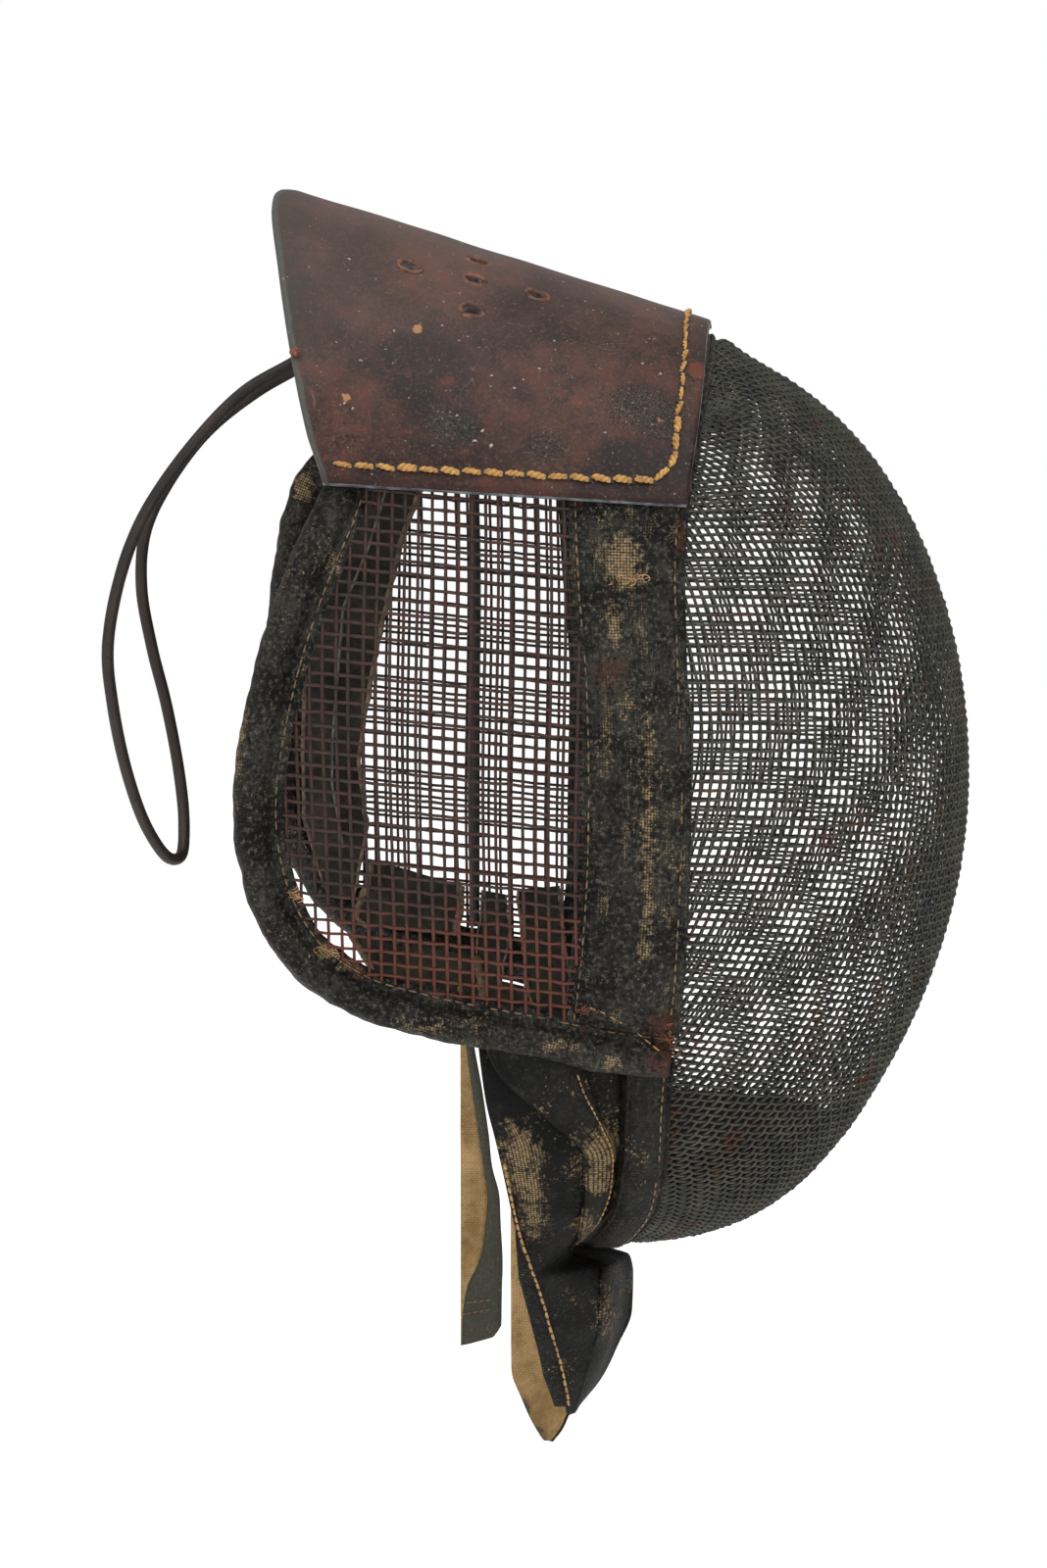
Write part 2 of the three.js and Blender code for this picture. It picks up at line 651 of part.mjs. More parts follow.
function solidOf(geometry) {
  const bare = new THREE.BufferGeometry();
  bare.setAttribute("position", geometry.getAttribute("position"));
  if (geometry.index) bare.setIndex(geometry.index);
  const merged = mergeVertices(bare, 1e-4);
  return new wasm.Manifold(
    new wasm.Mesh({
      numProp: 3,
      vertProperties: merged.attributes.position.array,
      triVerts: new Uint32Array(merged.index.array),
    }),
  );
}

function geometryOf(solid) {
  const mesh = solid.getMesh();
  const made = new THREE.BufferGeometry();
  made.setAttribute("position", new THREE.BufferAttribute(new Float32Array(mesh.vertProperties), 3));
  made.setIndex(new THREE.BufferAttribute(new Uint32Array(mesh.triVerts), 1));
  made.computeVertexNormals();
  return made;
}

function crownLeather() {
  let crown = solidOf(sheet(crownGrid(LEATHER_OUTER_OFFSET), crownGrid(LEATHER_INNER_OFFSET)));
  for (const side of [RIGHT, LEFT]) {
    for (const vent of VENTS) {
      const angle = side * THREE.MathUtils.degToRad(vent.angle);
      const inside = archPoint(vent.x, angle, LEATHER_INNER_OFFSET - 4);
      const outside = archPoint(vent.x, angle, LEATHER_OUTER_OFFSET + 4);
      const punch = new THREE.CylinderGeometry(VENT_RADIUS, VENT_RADIUS, inside.distanceTo(outside), 14);
      const turn = new THREE.Quaternion().setFromUnitVectors(
        new THREE.Vector3(0, 1, 0),
        outside.clone().sub(inside).normalize(),
      );
      const middle = inside.clone().lerp(outside, 0.5);
      punch.applyMatrix4(new THREE.Matrix4().compose(middle, turn, new THREE.Vector3(1, 1, 1)));
      crown = crown.subtract(solidOf(punch));
    }
  }
  return geometryOf(crown);
}

// One half of the bib as closed level rings: out along the outer face and back along the inner one.
function bibHalf(rows, side, pleats) {
  const rings = rows.map((row, i) => {
    const run = new THREE.Vector2(row.frontX - row.hemX, row.frontY - row.hemY);
    const out = new THREE.Vector2(run.y, -run.x).normalize();
    const place = (x, offset) => {
      const share = (x - row.hemX) / run.x;
      const arch = 4 * share * (1 - share);
      const reach = Math.min(4, 0.1 * run.length()) * arch + offset;
      return new THREE.Vector3(
        x + out.x * reach * Math.min(1, arch),
        side * -(row.hemY + run.y * share + out.y * reach),
        row.z - row.drop * share,
      );
    };
    const stops = pleats ? pleatStops(row, pleats[i]) : plainStops(row);
    const outer = stops.map(({ x, raise }) => place(x, CLOTH_THICKNESS / 2 + raise));
    const inner = stops.map(({ x }) => place(x, -CLOTH_THICKNESS / 2)).reverse();
    return outer.concat(inner);
  });
  return loft(rings);
}

function plainStops(row) {
  return spaced(4).map((t) => ({ x: lerp(row.hemX, row.frontX, t), raise: 0 }));
}

function pleatStops(row, pleat) {
  const turn = 0.4; // width of a fold
  return [
    { x: row.hemX, raise: 0 },
    { x: lerp(row.hemX, pleat.rear, 0.5), raise: 0 },
    { x: pleat.rear, raise: 0 },
    { x: pleat.rear + turn, raise: pleat.raise },
    { x: lerp(pleat.rear, pleat.front, 0.5), raise: pleat.raise },
    { x: pleat.front - turn, raise: pleat.raise },
    { x: pleat.front, raise: 0 },
    { x: row.frontX, raise: 0 },
  ];
}

function bib() {
  const right = solidOf(bibHalf(BIB_RIGHT_ROWS, RIGHT, BIB_PLEAT_ROWS));
  return geometryOf(right.add(solidOf(bibHalf(BIB_LEFT_ROWS, LEFT))));
}

function bibStrap() {
  const grid = (offset) =>
    STRAP_ROWS.map((row) =>
      spaced(2).map((t) => new THREE.Vector3(lerp(row.rear, row.front, t), row.y + offset, row.z)),
    );
  return sheet(grid(STRAP_THICKNESS / 2), grid(-STRAP_THICKNESS / 2));
}

function headSpring() {
  const points = SPRING_POINTS.map(({ x, y, z }) => new THREE.Vector3(x, y, z));
  const line = new THREE.CatmullRomCurve3(points, true, "centripetal");
  return new THREE.TubeGeometry(line, 84, SPRING_RADIUS, 8, true);
}

function netRod() {
  const offset = NET_OFFSET - MESH_HALF_THICKNESS - GAP - ROD_RADIUS;
  const rings = spaced(12, -58, 104).map((z) => {
    const middle = sidePoint(LEFT, ROD_X, z, offset);
    return spaced(7, 0, (2 * Math.PI * 7) / 8).map((angle) =>
      middle.clone().add(new THREE.Vector3(ROD_RADIUS * Math.cos(angle), ROD_RADIUS * Math.sin(angle), 0)),
    );
  });
  return loft(rings);
}

// A tab on the underside of the ridge whose wings clasp the two legs of the spring.
function springKeeper() {
  const stem = 6;
  const wing = 19;
  const wingTop = -5.8;
  const wingBottom = -7.4;
  const length = 10;
  const outline = new THREE.Shape([
    new THREE.Vector2(-stem, -0.3),
    new THREE.Vector2(-stem, wingTop),
    new THREE.Vector2(-wing, wingTop),
    new THREE.Vector2(-wing, wingBottom),
    new THREE.Vector2(wing, wingBottom),
    new THREE.Vector2(wing, wingTop),
    new THREE.Vector2(stem, wingTop),
    new THREE.Vector2(stem, -0.3),
  ]);
  const made = new THREE.ExtrudeGeometry(outline, { depth: length, bevelEnabled: false });
  made.translate(0, 0, -length / 2);
  made.rotateX(Math.PI / 2);
  made.rotateZ(Math.PI / 2);
  made.rotateY(Math.atan(RIDGE_RISE));
  const x = 11;
  made.translate(x, 0, archHeight(x) + LEATHER_INNER_OFFSET - GAP);
  return made;
}

const steel = new THREE.MeshStandardMaterial({ color: "#4a463b", roughness: 0.5, metalness: 0.8 });
const rustySteel = new THREE.MeshStandardMaterial({ color: "#4a2c20", roughness: 0.8, metalness: 0.4 });
const springSteel = new THREE.MeshStandardMaterial({ color: "#2a2320", roughness: 0.5, metalness: 0.7 });
const leather = new THREE.MeshStandardMaterial({ color: "#4a3b37", roughness: 0.55, metalness: 0 });
const oilcloth = new THREE.MeshStandardMaterial({ color: "#24272a", roughness: 0.6, metalness: 0 });
const wornCloth = new THREE.MeshStandardMaterial({ color: "#2b2925", roughness: 0.8, metalness: 0 });
const lining = new THREE.MeshStandardMaterial({ color: "#2a2723", roughness: 0.9, metalness: 0 });
const tanCloth = new THREE.MeshStandardMaterial({ color: "#8a6538", roughness: 0.9, metalness: 0 });

function node(name, geometry, material) {
  const mesh = new THREE.Mesh(geometry, material);
  mesh.name = name;
  return mesh;
}

const mask = new THREE.Group();
mask.name = "mask";
mask.position.z = -HEAD_SEAT_HEIGHT;
mask.add(
  node("face_mesh", faceMesh(), steel),
  node("side_net_right", sideNet(RIGHT), rustySteel),
  node("side_net_left", sideNet(LEFT), rustySteel),
  node("net_rod", netRod(), springSteel),
  node("crown_leather", crownLeather(), leather),
  node("arch_band", archBand(), oilcloth),
  node("side_band_right", sideBand(RIGHT), oilcloth),
  node("side_band_left", sideBand(LEFT), oilcloth),
  node("edge_roll_right", edgeRoll(RIGHT), oilcloth),
  node("edge_roll_left", edgeRoll(LEFT), oilcloth),
  node("chin_band", chinBand(), oilcloth),
  node("chin_lining", chinLining(), lining),
  node("bib", bib(), wornCloth),
  node("bib_strap", bibStrap(), tanCloth),
  node("head_spring", headSpring(), springSteel),
  node("spring_keeper", springKeeper(), rustySteel),
);

const part = new THREE.Group();
part.name = "fencing_mask";
part.add(mask);

export default part;
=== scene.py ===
"""Vintage fencing mask: a woven wire face, wire side nets, a leather crown, padded oilcloth edges,
a hanging throat bib and a wire head spring. Sizes in the tables are millimetres above a level line
through the middle of the face; the frame is in metres."""

import math

import bmesh
import bpy
import numpy as np
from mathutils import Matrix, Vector, noise
from mathutils.bvhtree import BVHTree


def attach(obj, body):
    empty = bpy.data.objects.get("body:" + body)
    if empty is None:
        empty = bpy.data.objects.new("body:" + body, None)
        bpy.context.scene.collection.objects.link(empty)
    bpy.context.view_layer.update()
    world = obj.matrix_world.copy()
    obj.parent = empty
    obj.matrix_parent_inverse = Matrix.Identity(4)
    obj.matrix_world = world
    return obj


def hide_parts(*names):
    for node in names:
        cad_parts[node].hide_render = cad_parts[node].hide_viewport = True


bl_info = {
    "name": "Vintage fencing mask",
    "version": (1, 0, 0),
    "blender": (4, 5, 0),
    "location": "3D View > Sidebar > Mask",
    "description": "Builds the pieces of a vintage fencing mask around its packed frame",
    "category": "Add Mesh",
}

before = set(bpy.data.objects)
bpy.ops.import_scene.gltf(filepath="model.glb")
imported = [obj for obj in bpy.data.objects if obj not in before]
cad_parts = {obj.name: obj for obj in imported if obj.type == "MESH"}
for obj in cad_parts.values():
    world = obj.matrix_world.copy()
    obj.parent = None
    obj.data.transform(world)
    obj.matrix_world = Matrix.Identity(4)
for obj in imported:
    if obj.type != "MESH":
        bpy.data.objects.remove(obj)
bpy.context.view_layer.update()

HEAD_SEAT_HEIGHT = 172.0  # inside top of the crown, above the level line
WIDEST_HEIGHT = 50.0
WIDEST_HALF_WIDTH = 96.0  # wall to middle at that height, at the rim
RIM_NEAR_WIDEST = 50.0  # x of the rim there
SIDE_TAPER = 0.05  # the walls draw in by this much per mm to the rear
RIDGE_FRONT_X = 60.7
RIDGE_FRONT_HEIGHT = 147.8
RIDGE_RISE = 0.31  # rise of the ridge per mm to the rear
RIM_GAP = 0.6  # clearance of the wire face before the bands
NET_OFFSET = 2.0  # middle of a side net, outside the wall line
NET_EDGE_GAP = 0.6  # between the seen edge of a net and the band or roll beside it
LEATHER_INNER, LEATHER_OUTER = 3.45, 6.45  # the two faces of the leather, outside the wall line
ARCH_BAND_WIDTH = 20.0
ARCH_BAND_TURN = math.radians(56)  # the band under the crown reaches this far to each side
BAND_BOTTOM, BAND_TOP_HEIGHT = -67.0, 105.0
BAND_INTO_ROLL = 1.5
BAND_BACK, CHIN_BAND_BACK = -2.6, -2.2  # inner faces of the bands, inside the wall line
ARCH_BAND_OUTER = 3.1  # the band under the crown rises no further than this
CHIN_BAND_WIDTH, CHIN_BAND_TOP = 14.5, -81.0
LINING_TOP = -115.0
LINING_DEPTH = 2.2  # of the lining, inside the wire face
NET_UNDER_CROWN = 11.0  # how far a net runs up under the leather
NET_TOP_FRONT = 107.0
VENT_RADIUS = 3.4
SPRING_RADIUS = 2.0
ROD_X = -17.5
RIGHT, LEFT = -1, 1
STRIP_OFFSET, SCRAP_OFFSET = -4.0, -4.5  # of the torn lining, inside the left wall line
FLOOR_SIZE, FLOOR_HEIGHT = 8.0, -0.42  # metres, below the mask
WORLD_LIGHT = 0.5  # strength of the even white light from all round
LIGHT_AIM = (0, 0, -0.15)
LIGHTS = (  # name, place, size and power
    ("light_over", (0.1, -0.7, 1.3), 1.4, 22.0),
    ("light_front", (0.9, -1.5, 0.3), 1.0, 9.0),
    ("light_rear", (-1.3, -0.9, 0.8), 0.9, 8.0),
)
PHOTO_ELEVATION, PHOTO_DISTANCE, PHOTO_LENS = math.radians(5.5), 1.2, 82.57
NET_ROW_SLOPE = math.tan(math.radians(5.7))


def table(columns, rows):
    names = columns.split()
    return [dict(zip(names, row)) for row in rows]


FACE_ROWS = table(
    "z rim half depth",
    [
        (-153.3, 32.2, 0, 0), (-150.3, 34.8, 19.5, 23.4), (-144.6, 38.5, 32.4, 36.3),
        (-136.2, 43.0, 43.7, 44.9), (-119.4, 46.0, 57.0, 58.3), (-94.3, 47.0, 68.0, 73.6),
        (-41.2, 50.8, 84.5, 90.6), (9.8, 51.7, 94.5, 94.7), (50.0, 50.0, 96.0, 91.0),
        (84.8, 50.0, 90.1, 78.6), (110.7, 54.0, 76.2, 58.1), (126.8, 58.0, 60.4, 37.8),
        (141.3, 61.6, 34.8, 11.5), (147.5, 63.0, 0, 0),
    ],
)
BAND_REAR_ROWS = table(
    "z x",
    [(-70, 12.2), (-54, 14.1), (-22, 16.4), (9, 16.9), (39, 16.2), (69, 13.7), (110, 11.6)],
)
ROLL_ROWS = table(
    "right left z width plump offset",
    [
        (-49.0, -64.5, 112, 5.0, 2.6, -0.3), (-52.0, -70.5, 104.5, 6.4, 2.6, -0.4),
        (-54.0, -73.5, 99, 7.2, 2.7, -0.5), (-56.5, -76.0, 92.5, 7.8, 5.8, 1.2),
        (-62.6, -79.6, 78.6, 8.0, 8.0, 2.0), (-70.5, -82.5, 57.3, 8.0, 8.0, 2.0),
        (-77.8, -84.8, 29.9, 8.0, 8.0, 2.0), (-81.4, -85.4, 8.6, 8.0, 8.0, 2.0),
        (-81.4, -83.4, -9.6, 8.0, 8.0, 2.0), (-76.9, -77.9, -29.4, 8.0, 8.0, 2.0),
        (-67.2, -67.2, -46.1, 8.0, 8.0, 2.0), (-52.0, -52.0, -57.6, 8.0, 8.0, 2.0),
        (-28.4, -28.4, -64.9, 8.0, 8.0, 2.0), (1.8, 1.8, -71.0, 8.0, 8.0, 2.0),
        (26.0, 26.0, -76.0, 8.0, 8.0, 2.0), (46.4, 46.4, -78.6, 7.6, 6.5, 1.5),
    ],
)
CROWN_EDGE_ROWS = table(
    "angle front rear",
    [
        (0, 62.0, -74.0), (10, 60.4, -79.3), (20, 58.9, -80.3), (35, 56.8, -77.2), (50, 53.9, -72.4),
        (62, 50.8, -66.7), (70, 49.0, -61.3),
    ],
)
CROWN_EDGE_REAR = (-61.0, 101.5)
CROWN_EDGE_FRONT = (46.0, 95.2)
VENTS = [(-36.1, 27.2), (-14.4, 17.8), (-15.7, 25.8), (-16.3, 34.8), (4.3, 24.9)]
BIB_RIGHT_ROWS = table(
    "z drop hemX hemY rear front raise frontX frontY",
    [
        (-76.9, 11.3, -16, -74.5, -13, 17, 3.5, 30.8, -69), (-83, 10, -14.4, -72.5, -8, 20.5, 4, 31, -66),
        (-96, 8, -11.5, -69, 6, 25.5, 4.2, 30.6, -60), (-109, 6, -8.6, -65, 18.5, 29, 4.2, 30.4, -53.6),
        (-122, 4, -6, -59, 18.5, 28.6, 4.2, 29.4, -46), (-136, 3, -3.4, -52, 16.5, 24.4, 4, 25.6, -37),
        (-145, 2, -1.4, -47, 16, 19.8, 2.5, 20.8, -26), (-151.5, 1, 0.6, -44, 13, 15.5, 1.2, 17, -16),
        (-157, 0, 2.4, -41, 13, 15.8, 0.3, 17.2, 0.4), (-158.2, 0, 2.8, -40, 22, 29, 2.2, 34.6, 0.4),
        (-166, 0, 5, -35.5, 22, 31, 1.4, 36.6, 0.4), (-178, 0, 8, -29, 22, 30, 0.6, 36.3, 0.4),
        (-190, 0, 11, -21.5, 20, 27, 0.2, 31.8, 0.4), (-202, 0, 13.4, -14, 18, 22.5, 0.1, 26, 0.4),
        (-213, 0, 14.9, -7, 15.8, 16.8, 0.1, 17.6, 0.4),
    ],
)
BIB_LEFT_ROWS = table(
    "z drop hemX hemY frontX frontY",
    [
        (-76.9, 11.3, -12, -74, 30.8, -69), (-96, 8, -8, -67, 30.6, -60), (-122, 4, -4, -58, 29.4, -46),
        (-136, 3, -3.4, -52.5, 25.6, -37), (-145, 2, -3.6, -49.5, 20.8, -26),
        (-151.5, 1, -3.8, -47, 17, -16), (-157, 0, -4.1, -45, 17.2, 0.4), (-158.2, 0, -4.1, -44, 34.6, 0.4),
        (-178, 0, -4.1, -37, 36.3, 0.4), (-190, 0, -4.1, -31, 31.8, 0.4), (-206, 0, -4.0, -23, 23.2, 0.4),
        (-214, 0, -0.4, -16, 15.8, -1.2), (-220.5, 0, 3, -10.5, 13, -2.4), (-225.4, 0, 6.6, -6, 9.6, -4),
    ],
)
STRAP_ROWS = table(
    "z rear middle front y",
    [
        (-76, -22.6, -21.6, -20.6, 76.6), (-101, -22.6, -20.2, -18.0, 77.0),
        (-116, -22.6, -18.2, -15.2, 77.2), (-134, -22.6, -15.6, -12.7, 77.5),
        (-145, -22.6, -14.0, -11.6, 77.7), (-156, -22.6, -12.6, -8.9, 78.2),
        (-166, -22.6, -13.2, -8.3, 78.2), (-182, -22.6, -16.6, -7.6, 78.0),
        (-190, -22.6, -20.6, -7.8, 77.8), (-203, -22.6, -22.2, -8.0, 77.2),
        (-206.5, -22.6, -22.2, -11.0, 77.0),
    ],
)
SPRING_POINTS = [
    (24.0, 0, 159.7), (18.0, -9.5, 160.9), (2.0, -14, 165.1), (-28.0, -19, 162.5), (-55.0, -25, 150.5),
    (-74.0, -28, 139.1), (-90.0, -28, 129.8), (-105.7, -28, 114.0), (-121.9, -26, 91.8),
    (-130.3, -24, 72.7), (-135.6, -22, 47.1), (-134.4, -20, 27.7), (-130.3, -16, 4.8),
    (-124.6, -10.5, -13.6), (-118.4, -3, -24.4), (-114.9, 5, -24.6), (-114.5, 12, -14.4), (-116.4, 17, 1.7),
    (-120.9, 21, 24.7), (-125.9, 23, 44.5), (-129.4, 25, 65.0), (-128.0, 26, 83.0), (-121.0, 27, 98.5),
    (-107.0, 28, 117.0), (-90.0, 28, 130.5), (-74.0, 28, 139.6), (-55.0, 25, 150.5), (-28.0, 19, 162.5),
    (2.0, 14, 165.1), (18.0, 9.5, 160.9),
]


# Shape of the mask


def numbers(*values):
    """The values as arrays of one shape."""
    return np.broadcast_arrays(*(np.asarray(value, float) for value in values))


def placed(*coordinates):
    """Points from their coordinates."""
    return np.stack(np.broadcast_arrays(*coordinates), axis=-1)


def turns(count):
    """Even angles round a circle."""
    return np.arange(count) * 2 * math.pi / count


class SmoothRows:
    """A smooth curve through the rows of a table, read at one place or at many."""

    def __init__(self, rows, knots, level_ends=(), limited=False):
        self.knots = np.array(knots, float)
        self.columns = {}
        gap = np.diff(self.knots)
        for name in rows[0]:
            values = np.array([row[name] for row in rows], float)
            rise = np.diff(values) / gap
            slope = np.zeros_like(values)
            slope[1:-1] = (rise[:-1] * gap[1:] + rise[1:] * gap[:-1]) / (gap[:-1] + gap[1:])
            if name not in level_ends:
                slope[0], slope[-1] = rise[0], rise[-1]
            if limited:
                least = np.minimum(np.abs(rise[:-1]), np.abs(rise[1:])) * 2
                slope[1:-1] = np.clip(slope[1:-1], -least, least)
                slope[1:-1][rise[:-1] * rise[1:] <= 0] = 0
            self.columns[name] = (values, slope)

    def __call__(self, name, at):
        values, slope = self.columns[name]
        at = np.asarray(at, float)
        i = np.clip(np.searchsorted(self.knots, at, side="left") - 1, 0, len(self.knots) - 2)
        span = self.knots[i + 1] - self.knots[i]
        t = np.clip((at - self.knots[i]) / span, 0, 1)
        t2, t3 = t * t, t * t * t
        return (
            (2 * t3 - 3 * t2 + 1) * values[i]
            + (t3 - 2 * t2 + t) * slope[i] * span
            + (3 * t2 - 2 * t3) * values[i + 1]
            + (t3 - t2) * slope[i + 1] * span
        )


def run_lengths(points):
    """Length along a line of points from its start to each of them."""
    return np.concatenate([[0], np.cumsum(np.linalg.norm(np.diff(points, axis=0), axis=1))])


def chords(rows, *names):
    return run_lengths(np.array([[row[name] for name in names] for row in rows], float))


def by(rows, name):
    return [row[name] for row in rows]


face_knots = chords(FACE_ROWS, "z", "half")
FACE_LENGTH = face_knots[-1]
face_section = SmoothRows(FACE_ROWS, face_knots, ("z", "rim"))
face_by_height = SmoothRows(FACE_ROWS, by(FACE_ROWS, "z"))
band_rear = SmoothRows(BAND_REAR_ROWS, by(BAND_REAR_ROWS, "z"))
crown_edges = SmoothRows(CROWN_EDGE_ROWS, by(CROWN_EDGE_ROWS, "angle"), ("front", "rear"))


def rim_x(z):
    return face_by_height("rim", z)


def arch_half_width(x):
    return WIDEST_HALF_WIDTH - SIDE_TAPER * (RIM_NEAR_WIDEST - x)


def arch_height(x):
    return RIDGE_FRONT_HEIGHT + RIDGE_RISE * (RIDGE_FRONT_X - x)


def wall_half_width(x, z, offset=0.0):
    x, z = numbers(x, z)
    share = (z - WIDEST_HEIGHT) / (arch_height(x) + offset - WIDEST_HEIGHT)
    above = (arch_half_width(x) + offset) * np.sqrt(np.clip(1 - share * share, 0, None))
    below = face_by_height("half", z) - SIDE_TAPER * (RIM_NEAR_WIDEST - x) + offset
    return np.where(z > WIDEST_HEIGHT, above, below)


def side_point(side, x, z, offset=0.0):
    x, z = numbers(x, z)
    return placed(x, side * wall_half_width(x, z, offset), z)


def arch_point(x, angle, offset):
    x, angle = numbers(x, angle)
    rise = arch_height(x) + offset - WIDEST_HEIGHT
    y = (arch_half_width(x) + offset) * np.sin(angle)
    return placed(x, y, WIDEST_HEIGHT + rise * np.cos(angle))


def face_point(along, turn):
    along, turn = numbers(along, turn)
    z = face_section("z", along)
    x = rim_x(z) + RIM_GAP + face_section("depth", along) * np.cos(turn)
    return placed(x, face_section("half", along) * np.sin(turn), z)


def along_at_height(z):
    low, high = 0.0, FACE_LENGTH
    for _ in range(40):
        middle = (low + high) / 2
        if face_section("z", middle) < z:
            low = middle
        else:
            high = middle
    return low


def crown_edge_height(x):
    (x0, z0), (x1, z1) = CROWN_EDGE_REAR, CROWN_EDGE_FRONT
    return z0 + (z1 - z0) * (x - x0) / (x1 - x0)


def crown_reach(x):
    rise = arch_height(x) + LEATHER_OUTER - WIDEST_HEIGHT
    return np.arccos((crown_edge_height(x) - WIDEST_HEIGHT) / rise)


def crown_place(u, v):
    """Ridge place and angle of a point of the crown: u from front to rear, v from side to side."""
    u, v = numbers(u, v)
    x = CROWN_EDGE_FRONT[0] + (CROWN_EDGE_REAR[0] - CROWN_EDGE_FRONT[0]) * u
    angle = v * crown_reach(x)
    for _ in range(8):
        degrees = np.abs(np.degrees(angle))
        front, rear = crown_edges("front", degrees), crown_edges("rear", degrees)
        x = front + (rear - front) * u
        angle = v * crown_reach(x)
    return x, angle


# Marks of use: middle, reach and strength of each place that is rubbed, stained or cracked, and of the
# painted shade under the bib's pleat.
BAND_RUBS = (
    ((30.5, -92, 77), (6, 30, 9), 1.0), ((27.5, -95, 58), (3, 30, 8), 0.8),
    ((37.5, -95, -15), (2.6, 30, 48), 0.75), ((24.0, -95, 20), (2.5, 30, 9), 0.6),
    ((34.0, 95, 40), (3, 30, 30), 0.7), ((24.0, 95, -30), (4, 30, 20), 0.7),
)
BAND_STAINS = (
    ((26.5, -96, 43), (6, 30, 7), 0.9), ((43.0, -88, -70), (7, 30, 8), 1.0),
    ((16.5, -96, 99), (4, 30, 8), 0.8), ((48.0, -94, 84), (3, 30, 8), 0.8),
    ((42.0, 88, -70), (7, 30, 8), 0.9),
)
ROLL_RUBS = (
    ((-70, -98, -25.5), (3, 30, 3.5), 1.0), ((-61, -94, -44.5), (4, 30, 3.5), 1.0),
    ((-55, -92, -49), (5, 30, 3), 0.8), ((-30, -90, -68), (10, 30, 4), 0.6),
    ((10, -90, -74), (7, 30, 3), 0.55), ((28, -88, -80), (4, 30, 3), 0.7),
    ((-88, -96, 30), (4, 30, 22), 0.6), ((-80, 96, 60), (5, 30, 20), 0.8), ((-78, 90, 98), (4, 30, 6), 1.0),
)
ROLL_STAINS = (
    ((44, -88, -78), (7, 30, 8), 1.0), ((20, -90, -70), (4, 30, 4), 0.8),
    ((-52, -92, -52), (5, 30, 3), 0.9), ((44, 88, -78), (7, 30, 8), 0.9),
)
BIB_RUBS = (
    ((-3, -65, -112), (6, 30, 12), 1.0), ((3, -60, -124), (6, 30, 7), 1.0),
    ((25, -60, -110), (6, 30, 8), 1.0), ((24, -55, -122), (5, 30, 6), 0.9),
    ((1.5, -48, -138), (3.5, 30, 12), 0.9), ((24, -30, -146), (8, 30, 8), 0.55),
    ((28, -20, -178), (5, 30, 12), 0.45), ((20, -40, -140), (3, 30, 8), 0.7),
)
BIB_STAINS = (
    ((0.5, 10, -217), (3.2, 14, 5), 0.9), ((4.5, 10, -224), (5.5, 14, 3.5), 1.0),
    ((-2.5, 25, -176), (1.6, 20, 9), 0.9), ((30, -20, -165), (6, 30, 10), 0.4),
)
# Painted shade: near-black places under the bib's pleat and flap, where shade falls.
BIB_PLEAT_SHADE = (
    ((-9, -70, -88), (5, 30, 8), 1.0), ((1, -68, -100), (8, 30, 8), 1.0),
    ((10, -62, -108), (7, 30, 8), 1.0), ((13, -58, -118), (5, 30, 10), 1.0),
    ((14, -52, -132), (4, 30, 8), 1.0), ((22, -30, -160), (9, 30, 6), 0.8),
)
LEATHER_CRACKS = (
    ((-22.3, -84, 118.5), (10, 40, 7), 0.85), ((7.8, -86, 112.5), (9, 40, 6), 0.85),
    ((35.2, -76, 124.6), (11, 40, 8), 1.0), ((42.7, -78.6, 120), (8, 40, 7), 1.0),
    ((-20, 78, 112), (12, 40, 10), 0.9), ((30, 60, 140), (12, 40, 10), 0.8),
)
LEATHER_STAINS = (
    ((54.7, -60, 136), (3.4, 30, 3.0), 1.0), ((-8.2, -66, 144.4), (6, 40, 3), 0.4),
    ((-20.3, -76, 132.7), (7, 40, 5), 0.36), ((10.9, -77.6, 126.1), (8, 40, 2.5), 0.5),
    ((53, 70, 120), (3.0, 30, 3), 1.0),
)
LEATHER_RUBS = (
    ((-33.1, -66, 148.9), (2.0, 40, 1.8), 1.0), ((-54.6, -81, 127.5), (1.4, 40, 1.4), 1.0),
    ((42.1, -78.5, 120.3), (1.3, 40, 1.3), 0.9), ((-71, -30, 188), (9, 40, 8), 0.3),
)


class RollLine:
    """Middle line of an edge roll and the sizes along it."""

    def __init__(self, side):
        self.side = side
        name = "right" if side == RIGHT else "left"
        rows = [dict(row, x=row[name]) for row in ROLL_ROWS]
        knots = chords(rows, "x", "z")
        self.rows = SmoothRows(rows, knots)
        self.length = knots[-1]

    def at(self, name, along):
        return self.rows(name, along)

    def inward(self, along):
        a, b = np.maximum(0, along - 0.5), np.minimum(self.length, along + 0.5)
        dx = self.at("x", b) - self.at("x", a)
        dz = self.at("z", b) - self.at("z", a)
        run = np.hypot(dx, dz)
        return -dz / run, dx / run

    def place(self, along, across, out):
        """Point beside the line: across it towards the net, and out through the wall."""
        x, z = self.at("x", along), self.at("z", along)
        inx, inz = self.inward(along)
        middle = wall_half_width(x, z) + self.at("offset", along)
        return placed(x + inx * across, self.side * (middle + out), z + inz * across)


def net_outline(side, grow):
    """Outline of a side net, grown into the pieces that hold it."""
    line = RollLine(side)
    along = np.linspace(0, line.length, 400)
    inx, inz = line.inward(along)
    gap = NET_EDGE_GAP - grow
    reach = line.at("width", along) + gap
    x, z = line.at("x", along) + inx * reach, line.at("z", along) + inz * reach
    start = np.argmax(z < crown_edge_height(x) + NET_UNDER_CROWN)
    end = np.argmax((z < 0) & (x > band_rear("x", z) - gap))
    back = placed(x[start:end], z[start:end])
    front_z = np.linspace(back[-1, 1], NET_TOP_FRONT, 40)
    front = placed(band_rear("x", front_z) - gap, front_z)
    return np.concatenate([back, front])


